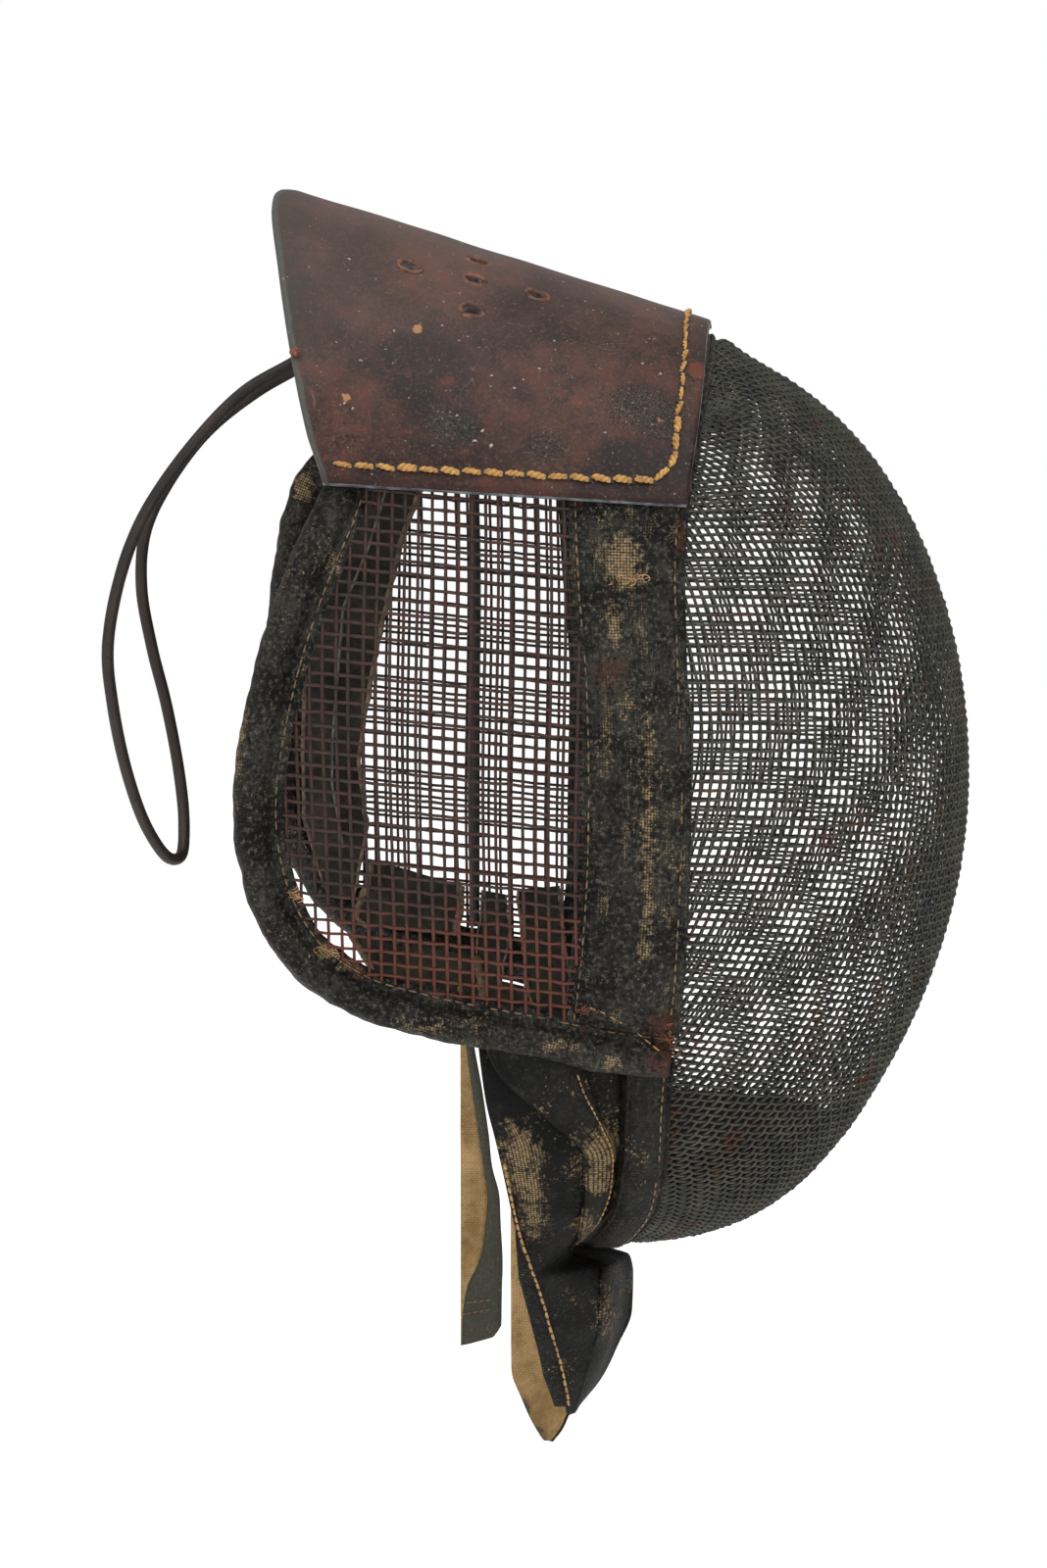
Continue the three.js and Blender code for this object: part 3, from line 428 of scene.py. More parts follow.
def inside(points, outline):
    x, z = points[..., 0], points[..., 1]
    found = np.zeros(x.shape, bool)
    for (x0, z0), (x1, z1) in zip(outline, np.roll(outline, -1, axis=0)):
        crosses = (z0 > z) != (z1 > z)
        with np.errstate(divide="ignore", invalid="ignore"):
            found ^= crosses & (x < (x1 - x0) * (z - z0) / (z1 - z0) + x0)
    return found


# Meshes


class Skin:
    """Collects points in millimetres, faces, finishes and cloth directions of one piece."""

    def __init__(self):
        self.points, self.faces, self.finishes, self.cloth = [], [], [], []
        self.marks = ((), (), ())
        self.count = 0

    def add(self, points, faces, finish=0, cloth=None):
        points = np.asarray(points, float).reshape(-1, 3)
        if cloth is None:
            cloth = points[:, [0, 2]]
        self.points.append(points)
        self.cloth.append(np.asarray(cloth, float).reshape(-1, 2))
        self.more_faces(np.asarray(faces) + self.count, finish)
        self.count += len(points)

    def more_faces(self, faces, finish=0):
        """Faces between points that are already there."""
        self.faces.append(np.asarray(faces))
        self.finishes.append(np.full(len(faces), finish))

    def grid(self, points, finish=0, cloth=None, around=False, flip=False):
        rows, columns = points.shape[:2]
        self.add(points, grid_faces(rows, columns, around, flip), finish, cloth)

    def piece(self, name, finishes, slot=None, node=None):
        """The piece in the scene, riding the mask; finishes are names with spaces between them."""
        mesh = bpy.data.meshes.new(name)
        points = np.concatenate(self.points)
        points[:, 2] -= HEAD_SEAT_HEIGHT
        faces = [face for block in self.faces for face in block.tolist()]
        mesh.from_pydata((points / 1000).tolist(), [], faces)
        mesh.polygons.foreach_set("material_index", np.concatenate(self.finishes))
        mesh.polygons.foreach_set("use_smooth", np.full(len(faces), True))
        corners = np.empty(len(mesh.loops), int)
        mesh.loops.foreach_get("vertex_index", corners)
        layer = mesh.uv_layers.new(name="cloth")
        layer.data.foreach_set("uv", (np.concatenate(self.cloth) / 1000)[corners].ravel())
        layer = mesh.attributes.new("marks", "FLOAT_COLOR", "POINT")
        layer.data.foreach_set("color", marked(np.concatenate(self.points), self.marks).ravel())
        for finish_name in finishes.split():
            mesh.materials.append(finish(finish_name))
        mesh.update()
        made = bpy.data.objects.new(name, mesh)
        bpy.context.scene.collection.objects.link(made)
        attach(made, "root")
        if node:
            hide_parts(node)
        return made


def marked(points, kinds):
    """Strength of each kind of mark at each point: rubbed through, stained, and cracked, which on the bib is
    painted shade instead.
    """
    found = np.zeros((len(points), 4))
    for kind, spots in enumerate(kinds):
        for middle, reach, strength in spots:
            away = np.linalg.norm((points - np.array(middle)) / np.array(reach), axis=1)
            share = np.clip((1.5 - away) / 1.1, 0, 1)
            found[:, kind] = np.maximum(found[:, kind], strength * share * share * (3 - 2 * share))
    return found


def grid_faces(rows, columns, around=False, flip=False):
    number = np.arange(rows * columns).reshape(rows, columns)
    if around:
        number = np.concatenate([number, number[:, :1]], axis=1)
    a, b, c, d = number[:-1, :-1], number[:-1, 1:], number[1:, 1:], number[1:, :-1]
    order = (a, d, c, b) if flip else (a, b, c, d)
    return np.stack(order, axis=-1).reshape(-1, 4)


def unit(vectors):
    length = np.linalg.norm(vectors, axis=-1, keepdims=True)
    return vectors / np.maximum(length, 1e-9)


def tube(skin, line, up, radius, sides, finish=0, closed=False):
    """A round wire along a line; up is a direction square to it at each point."""
    line = np.asarray(line, float)
    if closed:
        ahead = np.roll(line, -1, axis=0) - np.roll(line, 1, axis=0)
    else:
        ahead = np.gradient(line, axis=0)
    ahead = unit(ahead)
    beside = unit(np.cross(ahead, up))
    up = np.cross(beside, ahead)
    angles = turns(sides)
    radius = np.broadcast_to(np.asarray(radius, float), (len(line),))[:, None, None]
    rings = line[:, None] + radius * (
        np.cos(angles)[None, :, None] * beside[:, None] + np.sin(angles)[None, :, None] * up[:, None]
    )
    faces = grid_faces(len(line), sides, around=True)
    if closed:
        last = (len(line) - 1) * sides
        wrap = [(last + k, last + (k + 1) % sides, (k + 1) % sides, k) for k in range(sides)]
        faces = np.concatenate([faces, wrap])
        skin.add(rings, faces, finish)
        return
    first = skin.count
    skin.add(rings, faces, finish)
    for start, turn in ((first, 1), (first + (len(line) - 1) * sides, -1)):
        skin.more_faces(fan((start + np.arange(sides))[::turn]), finish)


def fan(ring):
    return [(ring[0], ring[k + 1], ring[k + 2]) for k in range(len(ring) - 2)]


def wobble(points, size, seed, reach=1.0):
    """Smooth unevenness at each point, from about -reach to reach."""
    flat = np.asarray(points, float).reshape(-1, 3) / size + seed * 17.3
    values = [noise.noise(Vector(point)) for point in flat]
    return np.array(values).reshape(np.asarray(points).shape[:-1]) * 2 * reach


def surface_normals(points):
    """Normals of a grid of points, pointing to the left of its rows and columns."""
    return unit(np.cross(np.gradient(points, axis=1), np.gradient(points, axis=0)))


def woven(skin, grid, keep, amplitude, radius, sides, family, phase, held):
    """Wires of one direction of a woven net. Each passes over and under the crossing ones."""
    normals = surface_normals(grid)
    rows, columns = keep.shape
    checker = (np.add.outer(np.arange(rows), np.arange(columns)) % 2) * 2 - 1
    lift = amplitude * phase * checker[..., None] * normals
    points = grid + lift
    if family == 1:
        grid, points, normals = (np.swapaxes(a, 0, 1) for a in (grid, points, normals))
        keep = keep.T
    for line, raised, up, kept in zip(grid, points, normals, keep):
        edges = np.flatnonzero(np.diff(np.concatenate([[0], kept.astype(int), [0]])))
        for start, stop in edges.reshape(-1, 2):
            if stop - start < 2:
                continue
            whole, whole_up = raised[start:stop], up[start:stop]
            middle = (line[start : stop - 1] + line[start + 1 : stop]) / 2
            path = np.empty((2 * len(whole) - 1, 3))
            ups = np.empty_like(path)
            path[::2], path[1::2] = whole, middle
            ups[::2], ups[1::2] = whole_up, (whole_up[:-1] + whole_up[1:]) / 2
            for at, beyond, spot in ((start, start - 1, 0), (stop - 1, stop, None)):
                end = clip_end(line[at], line[beyond], held) if 0 <= beyond < len(line) else None
                if end is not None:
                    spot = len(path) if spot is None else spot
                    path, ups = np.insert(path, spot, end, axis=0), np.insert(ups, spot, up[at], axis=0)
            tube(skin, path, ups, radius, sides)


def clip_end(inner, outer, held):
    low, high = 0.0, 1.0
    for _ in range(8):
        middle = (low + high) / 2
        if held(inner + (outer - inner) * middle):
            low = middle
        else:
            high = middle
    if low < 0.05:
        return None
    return inner + (outer - inner) * low


def even_path(points, step):
    """The same line with points a fixed step apart."""
    points = np.asarray(points, float)
    length = run_lengths(points)
    at = np.linspace(0, length[-1], max(2, int(round(length[-1] / step)) + 1))
    return placed(*(np.interp(at, length, points[:, k]) for k in range(points.shape[1])))


SEWN_STEP = 0.25  # spacing of the points along a sewn line


def sewn(skin, path, ups, length, gap, radius, seed, arch=0.5, sides=6, finish=0, skipped=0.0):
    """Short stitches along a path that rise out of the cloth and go back into it."""
    draw = np.random.default_rng(seed)
    both = even_path(np.concatenate([path, np.broadcast_to(ups, path.shape)], axis=1), SEWN_STEP)
    path, ups = both[:, :3], unit(both[:, 3:])
    step = int(round((length + gap) / SEWN_STEP))
    long = int(round(length / SEWN_STEP))
    for start in range(0, len(path) - long, step):
        if draw.random() < skipped:
            continue
        take = np.linspace(start, start + long, 9).astype(int)
        share = np.linspace(0, 1, 9)
        rise = arch * np.sin(math.pi * share) ** 0.6 - 0.35 * radius
        aside = np.cross(np.gradient(path[take], axis=0), ups[take])
        aside = unit(aside) * draw.normal(0, 0.12 * radius)
        line = path[take] + ups[take] * rise[:, None] + aside
        size = radius * draw.uniform(0.85, 1.15) * (0.55 + 0.45 * np.sin(math.pi * share) ** 0.5)
        tube(skin, line, ups[take], size, sides, finish)


# Finishes


class Maker:
    """Places and joins shader nodes in one node tree."""

    def __init__(self, tree):
        self.tree = tree

    def node(self, kind, inputs=(), **settings):
        made = self.tree.nodes.new(kind)
        made.location = (220 * len(self.tree.nodes), 0)
        for name, value in settings.items():
            setattr(made, name, value)
        for name, value in dict(inputs).items():
            self.feed(made.inputs[name], value)
        return made

    def feed(self, socket, value):
        """Links an output to the socket, or sets a number, a place or a colour on it."""
        if isinstance(value, bpy.types.NodeSocket):
            self.tree.links.new(value, socket)
            return
        if isinstance(value, str):
            value = hexed(value)
        if socket.type == "RGBA" and len(value) == 3:
            value = (*value, 1.0)
        socket.default_value = value

    def math(self, operation, a, b=0.0):
        return self.node("ShaderNodeMath", {0: a, 1: b}, operation=operation).outputs[0]

    def times(self, a, b):
        return self.math("MULTIPLY", a, b)

    def plus(self, a, b):
        return self.math("ADD", a, b)

    def minus(self, a, b):
        return self.math("SUBTRACT", a, b)

    def mix(self, share, a, b, blend="MIX"):
        made = self.node("ShaderNodeMix", {0: share, 6: a, 7: b}, data_type="RGBA", blend_type=blend)
        return made.outputs[2]

    def over(self, colour, mask, strength, top):
        """The colour with another one laid over it where the mask is."""
        return self.mix(self.times(mask, strength), colour, top)

    def step(self, value, low, high, to_low=0.0, to_high=1.0):
        ends = {0: value, 1: low, 2: high, 3: to_low, 4: to_high}
        return self.node("ShaderNodeMapRange", ends, interpolation_type="SMOOTHSTEP").outputs[0]

    def noise(self, place, scale, detail=3.0, rough=0.55, seed=0.0):
        inputs = {"Vector": place, "W": seed, "Scale": scale, "Detail": detail, "Roughness": rough}
        return self.node("ShaderNodeTexNoise", inputs, noise_dimensions="4D").outputs[0]

    def cells(self, place, scale, seed=0.0, feature="F1", output="Distance"):
        inputs = {"Vector": place, "W": seed, "Scale": scale}
        made = self.node("ShaderNodeTexVoronoi", inputs, voronoi_dimensions="4D", feature=feature)
        return made.outputs[output]

    def scaled(self, place, factors):
        return self.node("ShaderNodeVectorMath", {0: place, 1: factors}, operation="MULTIPLY").outputs[0]

    def parts(self, place):
        return self.node("ShaderNodeSeparateXYZ", {0: place}).outputs

    def group(self, name, inputs):
        return self.node("ShaderNodeGroup", inputs, node_tree=bpy.data.node_groups[name]).outputs

    def surface(self, name, value):
        """Sets or links one input of the finish's own shader."""
        self.feed(self.shader.inputs[name], value)

    def bump(self, height, strength, distance):
        inputs = {"Height": height, "Strength": strength, "Distance": distance}
        self.surface("Normal", self.node("ShaderNodeBump", inputs).outputs[0])


def new_group(name, inputs, outputs=("Mask",)):
    """An empty node group. Inputs have a number as their default, or None for a place."""
    tree = bpy.data.node_groups.new(name, "ShaderNodeTree")
    for label, default in inputs.items():
        kind = "NodeSocketVector" if default is None else "NodeSocketFloat"
        socket = tree.interface.new_socket(label, in_out="INPUT", socket_type=kind)
        if default is not None:
            socket.default_value = default
    for label in outputs:
        tree.interface.new_socket(label, in_out="OUTPUT", socket_type="NodeSocketFloat")
    maker = Maker(tree)
    return maker, maker.node("NodeGroupInput").outputs, maker.node("NodeGroupOutput").inputs


def make_weave_group():
    """Plain weave: a rounded bump for each thread crossing, and the tone of its two threads."""
    m, given, put = new_group("plain_weave", {"Cloth": None, "Thread": 0.00065}, ("Height", "Tone"))
    x, y, _ = m.parts(given["Cloth"])
    u = m.math("DIVIDE", x, given["Thread"])
    v = m.math("DIVIDE", y, given["Thread"])
    waves = [m.math("ABSOLUTE", m.math("SINE", m.times(t, math.pi))) for t in (u, v)]
    bump = m.math("SQRT", m.times(waves[0], waves[1]))
    cell = m.plus(m.math("FLOOR", u), m.math("FLOOR", v))
    over = m.math("ABSOLUTE", m.math("MODULO", cell, 2.0))
    m.feed(put["Height"], bump)
    m.feed(put["Tone"], m.times(bump, m.plus(m.times(over, 0.25), 0.75)))


def make_wear_group():
    """Rubbed places: broad patches broken up by a fine grain."""
    inputs = {"Place": None, "Size": 60.0, "Amount": 0.3, "Grain": 0.5, "Seed": 0.0}
    m, given, put = new_group("rubbed", inputs)
    broad = m.noise(given["Place"], given["Size"], 3.0, 0.6, given["Seed"])
    fine_scale = m.times(given["Size"], 18.0)
    fine = m.noise(given["Place"], fine_scale, 2.0, 0.6, given["Seed"])
    broken = m.times(m.minus(fine, 0.5), given["Grain"])
    level = m.plus(broad, broken)
    edge = m.minus(0.74, m.times(given["Amount"], 0.42))
    m.feed(put["Mask"], m.step(level, edge, m.plus(edge, 0.1)))


def make_speck_group():
    """Scattered small grains of dust or rust."""
    m, given, put = new_group("specks", {"Place": None, "Scale": 300.0, "Amount": 0.2, "Seed": 0.0})
    ragged = m.noise(given["Place"], m.times(given["Scale"], 2.5), 2.0, 0.6, given["Seed"])
    near = m.cells(given["Place"], given["Scale"], given["Seed"])
    colour = m.cells(given["Place"], given["Scale"], given["Seed"], output="Color")
    chance = m.parts(colour)[0]
    reach = m.times(m.step(chance, m.minus(1.0, given["Amount"]), 1.0), 0.34)
    reach = m.times(reach, m.step(ragged, 0.35, 0.65, 0.15, 1.1))
    inside_it = m.minus(reach, near)
    m.feed(put["Mask"], m.step(inside_it, 0.0, 0.08))


def make_scratch_group():
    """Thin broken lines that run roughly one way."""
    m, given, put = new_group("scratches", {"Place": None, "Scale": 60.0, "Amount": 0.3, "Seed": 0.0})
    ridge = m.noise(given["Place"], given["Scale"], 1.0, 0.4, given["Seed"])
    line = m.math("ABSOLUTE", m.minus(ridge, 0.5))
    thin = m.step(line, 0.006, 0.001)
    where = m.noise(given["Place"], m.times(given["Scale"], 0.7), 2.0, 0.5, given["Seed"])
    low = m.minus(0.72, m.times(given["Amount"], 0.35))
    m.feed(put["Mask"], m.times(thin, m.step(where, low, m.plus(low, 0.08))))


def hexed(text):
    """A colour in linear light from its six-digit code."""
    values = [int(text[i : i + 2], 16) / 255 for i in (0, 2, 4)]
    return tuple(v / 12.92 if v <= 0.04045 else ((v + 0.055) / 1.055) ** 2.4 for v in values)


FINISH_ENDING = "_finish"  # keeps the finishes apart from the materials of the loaded frame


def new_finish(name):
    material = bpy.data.materials.new(name + FINISH_ENDING)
    material.use_nodes = True
    tree = material.node_tree
    tree.nodes.clear()
    m = Maker(tree)
    m.shader = m.node("ShaderNodeBsdfPrincipled")
    end = m.node("ShaderNodeOutputMaterial")
    tree.links.new(m.shader.outputs[0], end.inputs[0])
    places = m.node("ShaderNodeTexCoord").outputs
    return m, places["Object"], places["UV"]


def marks_of(m):
    """Rubbed, stained and cracked strength, as marked on the mesh; on the bib the third is painted shade."""
    marks = m.node("ShaderNodeAttribute", attribute_name="marks").outputs["Color"]
    return m.node("ShaderNodeSeparateColor", {0: marks}).outputs


def steel_finish(name, dark, light, rust, rust_amount, metallic, rough):
    m, place, _ = new_finish(name)
    tone = m.noise(place, 90.0, 4.0, 0.6, 1.0)
    fine = m.noise(place, 1400.0, 3.0, 0.6, 2.0)
    base = m.mix(m.step(tone, 0.3, 0.7), dark, light)
    rubbed = m.group(
        "rubbed", {"Place": place, "Size": 70.0, "Amount": rust_amount, "Grain": 0.6, "Seed": 4.0}
    )["Mask"]
    rust_tone = m.mix(fine, [c * 0.6 for c in hexed(rust)], rust)
    m.surface("Base Color", m.mix(rubbed, base, rust_tone))
    m.surface("Metallic", metallic)
    m.surface("Roughness", m.step(m.plus(rubbed, fine), 0.0, 1.6, rough, 0.92))
    m.bump(m.plus(fine, m.times(rubbed, 0.4)), 0.35, 0.00012)


def oilcloth_finish(name, colours, wear=0.2, streaks=0.0, seed=0.0, tone=None, stain="412319"):
    """Black oilcloth: a coated plain weave whose coat is rubbed through to tan threads."""
    m, place, cloth = new_finish(name)
    weave = m.group("plain_weave", {"Cloth": cloth, "Thread": 0.0009})
    rubbed, stained, pleat_shade = marks_of(m)
    broad = m.noise(place, 42.0, 4.0, 0.62, seed + 1.0)
    grain = m.noise(place, 700.0, 5.0, 0.7, seed + 2.0)
    blotch = m.noise(place, 210.0, 4.0, 0.66, seed + 3.0)
    coat = m.mix(m.step(broad, 0.32, 0.7), colours.oilcloth_dark, colours.oilcloth_light)
    # Grey over the grain's high points: a painted highlight on the pebbled coat.
    coat = m.over(coat, m.step(grain, 0.5, 0.7), 0.6, "66625a")
    coat = m.over(coat, m.step(blotch, 0.5, 0.7), 0.25, "45443d")
    # Near-black in the grain's low points: painted shade in its pits.
    pit_shade = m.times(m.step(m.plus(grain, m.times(blotch, 0.4)), 0.7, 0.55), 0.85)
    coat = m.mix(pit_shade, coat, "030303")
    if tone:
        coat = m.mix(tone[0], coat, tone[1])
    # Painted shade under the bib's pleat, laid on as near-black.
    coat = m.over(coat, m.step(pleat_shade, 0.1, 0.7), 0.85, "030303")
    rub = m.group(
        "rubbed", {"Place": place, "Size": 55.0, "Amount": wear, "Grain": 0.9, "Seed": seed + 3.0}
    )["Mask"]
    if streaks:
        long = m.scaled(place, (9.0, 9.0, 1.0))
        streak = m.group(
            "rubbed", {"Place": long, "Size": 22.0, "Amount": streaks, "Grain": 0.7, "Seed": seed + 5.0}
        )["Mask"]
        rub = m.math("MAXIMUM", rub, m.times(streak, 0.7))
    uneven = m.times(m.minus(m.plus(blotch, grain), 1.0), 2.2)
    marked_rub = m.times(m.step(m.plus(rubbed, uneven), 0.3, 0.95), m.step(rubbed, 0.0, 0.2))
    rub = m.math("MAXIMUM", rub, marked_rub)
    weave_seen = m.step(m.plus(weave["Tone"], m.times(grain, 0.4)), 0.45, 0.95)
    rub = m.times(rub, weave_seen)
    tan = m.mix(m.step(grain, 0.35, 0.65), [c * 0.6 for c in colours.worn_weave], colours.worn_weave)
    colour = m.mix(m.times(rub, 0.85), coat, tan)
    stained = m.times(m.step(m.plus(stained, uneven), 0.4, 1.0), 0.55)
    colour = m.mix(stained, colour, stain)
    specks = m.group("specks", {"Place": place, "Scale": 700.0, "Amount": 0.2, "Seed": seed + 7.0})["Mask"]
    colour = m.over(colour, specks, 0.5, "8d8676")
    m.surface("Base Color", colour)
    m.surface("Roughness", m.step(m.plus(grain, rub), 0.2, 1.5, 0.45, 0.85))
    m.surface("Specular IOR Level", 0.09)
    relief = m.plus(m.times(weave["Height"], 0.45), m.times(grain, 1.6))
    relief = m.plus(relief, m.times(blotch, 2.6))
    m.bump(relief, 0.8, 0.0005)


def plain_cloth_finish(name, dark, light, thread=0.0006, seed=0.0):
    m, place, cloth = new_finish(name)
    weave = m.group("plain_weave", {"Cloth": cloth, "Thread": thread})
    broad = m.noise(place, 60.0, 5.0, 0.6, seed)
    flecks = m.noise(place, 420.0, 4.0, 0.7, seed + 2.0)
    level = m.plus(m.times(broad, 0.6), m.times(flecks, 0.5))
    colour = m.mix(m.step(level, 0.35, 0.75), dark, light)
    shade = m.plus(m.times(weave["Tone"], 0.45), 0.55)
    shade = m.node("ShaderNodeCombineColor", {0: shade, 1: shade, 2: shade}).outputs[0]
    shaded = m.mix(1.0, colour, shade, "MULTIPLY")
    ragged = m.times(m.minus(m.plus(broad, flecks), 1.0), 1.6)
    mark = marks_of(m)[1]
    stained = m.times(m.step(m.plus(mark, ragged), 0.35, 0.75), m.step(mark, 0.0, 0.2))
    shaded = m.over(shaded, stained, 0.85, "33353a")
    m.surface("Base Color", shaded)
    m.surface("Roughness", 0.92)
    m.surface("Specular IOR Level", 0.2)
    fuzz = m.noise(place, 1500.0, 3.0, 0.6, seed + 1.0)
    m.bump(m.plus(weave["Height"], m.times(fuzz, 0.7)), 0.6, 0.0002)


def leather_finish(name, colours):
    """Old bridle leather: deep red brown, a painted grey sheen that lightens its upper part, scuffs, cracks
    and light specks.
    """
    m, place, edges = new_finish(name)
    rubbed, stained, cracked = marks_of(m)
    broad = m.noise(place, 24.0, 5.0, 0.62, 1.0)
    middle = m.noise(place, 120.0, 5.0, 0.66, 2.0)
    fine = m.noise(place, 900.0, 4.0, 0.65, 3.0)
    colour = m.mix(m.step(broad, 0.38, 0.62), colours.leather_dark, colours.leather)
    red = m.times(m.step(m.plus(middle, m.times(broad, 0.6)), 0.78, 1.05), 0.6)
    colour = m.mix(red, colour, colours.leather_red)
    mottled = m.times(m.step(fine, 0.5, 0.7), 0.55)
    colour = m.mix(mottled, colour, "5f463c")
    black = m.times(m.step(m.plus(fine, middle), 0.98, 0.78), 0.75)
    colour = m.mix(black, colour, "0f0a09")
    length, _, height = m.parts(place)
    # Painted sheen: the leather turns greyer and lighter with height, standing for light falling on the top
    # of the crown.
    painted_top_sheen = m.step(m.plus(height, m.times(broad, 0.05)), -0.03, 0.045)
    colour = m.over(colour, painted_top_sheen, 0.5, colours.leather_painted_top_sheen)
    rear = m.step(m.plus(length, m.times(middle, 0.016)), -0.052, -0.07)
    colour = m.over(colour, rear, 0.5, "2f302c")
    to_rear, to_side, _ = m.parts(edges)
    ragged = m.times(m.minus(middle, 0.5), 0.003)
    bevel = m.step(m.plus(to_rear, ragged), 0.0024, 0.0012)
    colour = m.over(colour, bevel, 0.7, "484b47")
    low = m.step(m.plus(to_side, ragged), 0.006, 0.001)
    colour = m.over(colour, low, 0.4, "2a1a17")
    crackle = m.cells(place, 1100.0, 2.0, "DISTANCE_TO_EDGE")
    uneven = m.times(m.minus(middle, 0.5), 1.6)
    crackled = m.step(m.plus(cracked, uneven), 0.25, 0.95)
    cracks = m.times(m.step(crackle, 0.09, 0.0), crackled)
    colour = m.over(colour, crackled, 0.35, "3c3d38")
    colour = m.over(colour, cracks, 0.85, "0f0c0b")
    pale = m.times(m.times(crackled, m.step(fine, 0.56, 0.74)), 0.6)
    colour = m.mix(pale, colour, "857a69")
    lines = [
        m.group("scratches", {"Place": m.scaled(place, scale), "Scale": size, "Amount": amount, "Seed": seed})
        for scale, size, amount, seed in (
            ((6.0, 1.0, 1.5), 26.0, 0.35, 1.0),
            ((1.2, 1.0, 5.0), 30.0, 0.35, 5.0),
        )
    ]
    scratched = m.times(m.math("MAXIMUM", lines[0]["Mask"], lines[1]["Mask"]), 0.4)
    colour = m.mix(scratched, colour, "7c6a5c")
    for scale, amount, seed, shade in ((400.0, 0.3, 2.0, 0.75), (800.0, 0.4, 6.0, 0.5)):
        specks = m.group("specks", {"Place": place, "Scale": scale, "Amount": amount, "Seed": seed})["Mask"]
        colour = m.mix(m.times(specks, shade), colour, "a8998a")
    raw = m.step(m.plus(stained, uneven), 0.35, 0.7)
    colour = m.over(colour, raw, 0.75, "5c3022")
    tan = m.step(m.plus(rubbed, uneven), 0.45, 0.7)
    colour = m.mix(m.times(tan, m.step(fine, 0.25, 0.5, 0.5, 1.0)), colour, "8a6446")
    m.surface("Base Color", colour)
    m.surface("Roughness", m.step(fine, 0.2, 0.9, 0.34, 0.7))
    m.surface("Specular IOR Level", 0.16)
    relief = m.plus(m.times(middle, 2.4), fine)
    relief = m.minus(relief, m.times(m.math("MAXIMUM", cracks, scratched), 1.6))
    m.bump(relief, 0.45, 0.0004)


def worn_edge_finish(name, dark, light):
    m, place, _ = new_finish(name)
    tone = m.noise(place, 240.0, 4.0, 0.65, 3.0)
    fine = m.noise(place, 1600.0, 3.0, 0.6, 5.0)
    m.surface("Base Color", m.mix(m.step(tone, 0.35, 0.65), dark, light))
    m.surface("Roughness", m.step(fine, 0.2, 0.8, 0.6, 0.9))
    m.bump(m.plus(tone, fine), 0.5, 0.0003)


def thread_finish(name, light, dark):
    m, place, _ = new_finish(name)
    tone = m.noise(place, 320.0, 4.0, 0.65, 7.0)
    fibre = m.noise(place, 3200.0, 2.0, 0.7, 8.0)
    colour = m.mix(m.step(tone, 0.32, 0.7), light, dark)
    colour = m.mix(m.times(m.step(fibre, 0.5, 0.75), 0.4), colour, [c * 0.4 for c in hexed(dark)])
    m.surface("Base Color", colour)
    m.surface("Roughness", 0.75)
    m.bump(fibre, 0.5, 0.00015)


def floor_finish(name):
    """A pale floor with a soft glow of its own, so that it runs into the white behind it."""
    m, place, _ = new_finish(name)
    tone = m.noise(place, 6.0, 2.0, 0.5, 1.0)
    m.surface("Base Color", m.mix(tone, (0.86, 0.86, 0.86), (0.9, 0.9, 0.9)))
    m.surface("Roughness", 0.95)
    m.surface("Specular IOR Level", 0.0)
    m.surface("Emission Color", (1, 1, 1, 1))
    m.surface("Emission Strength", 0.55)


def finish(name):
    return bpy.data.materials[name + FINISH_ENDING]


def make_finishes(colours):
    for make_group in (make_weave_group, make_wear_group, make_speck_group, make_scratch_group):
        make_group()
    steel_finish("face_wire", "13130f", "38372c", "4a2d1b", 0.32, 0.2, 0.5)
    steel_finish("spring_wire", "0f0b09", "261c16", "331d10", 0.25, 0.2, 0.4)
    steel_finish("keeper_steel", "2b241f", "4b4038", "5a3320", 0.6, 0.6, 0.6)
    net_finish("net_wire", colours)
    leather_finish("leather", colours)
    worn_edge_finish("leather_edge", "2b2a2c", "6d7377")
    worn_edge_finish("vent_rim", "24130d", "6e4430")
    # Near-black for the stitch holes: painted shade inside each hole.
    worn_edge_finish("stitch_hole_shade", "070504", "120c09")
    worn_edge_finish("torn_edge", "2c241b", "66533c")
    worn_edge_finish("fold_grey", "2b2c2b", "55564f")
    worn_edge_finish("tuft_tan", "6d5038", "a9835f")
    worn_edge_finish("rust_knot", "351b10", "7a4527")
    thread_finish("waxed_thread", colours.thread, "7d5a2e")
    thread_finish("seam_thread", "7d6446", "46351f")
    thread_finish("hem_thread", "a8854f", "6d4a2c")
    oilcloth_finish("oilcloth", colours, wear=0.14, streaks=0.3)
    oilcloth_finish("oilcloth_rolls", colours, wear=0.2, seed=20.0)
    oilcloth_finish("oilcloth_chin", colours, wear=0.12, seed=31.0, tone=(0.5, "0a0a08"))
    oilcloth_finish("worn_oilcloth", colours, wear=0.26, seed=40.0, tone=(0.7, "080807"))
    oilcloth_finish("oilcloth_strap", colours, wear=0.1, seed=52.0, tone=(0.6, "55554b"))
    plain_cloth_finish("lining_cloth", "17130f", "2e2721", 0.0009, 3.0)
    plain_cloth_finish("tan_cloth", "8a6c43", "c2a172", 0.00085, 4.0)
    plain_cloth_finish("scrap_cloth", "161410", "3a352b", 0.0008, 6.0)
    floor_finish("floor")


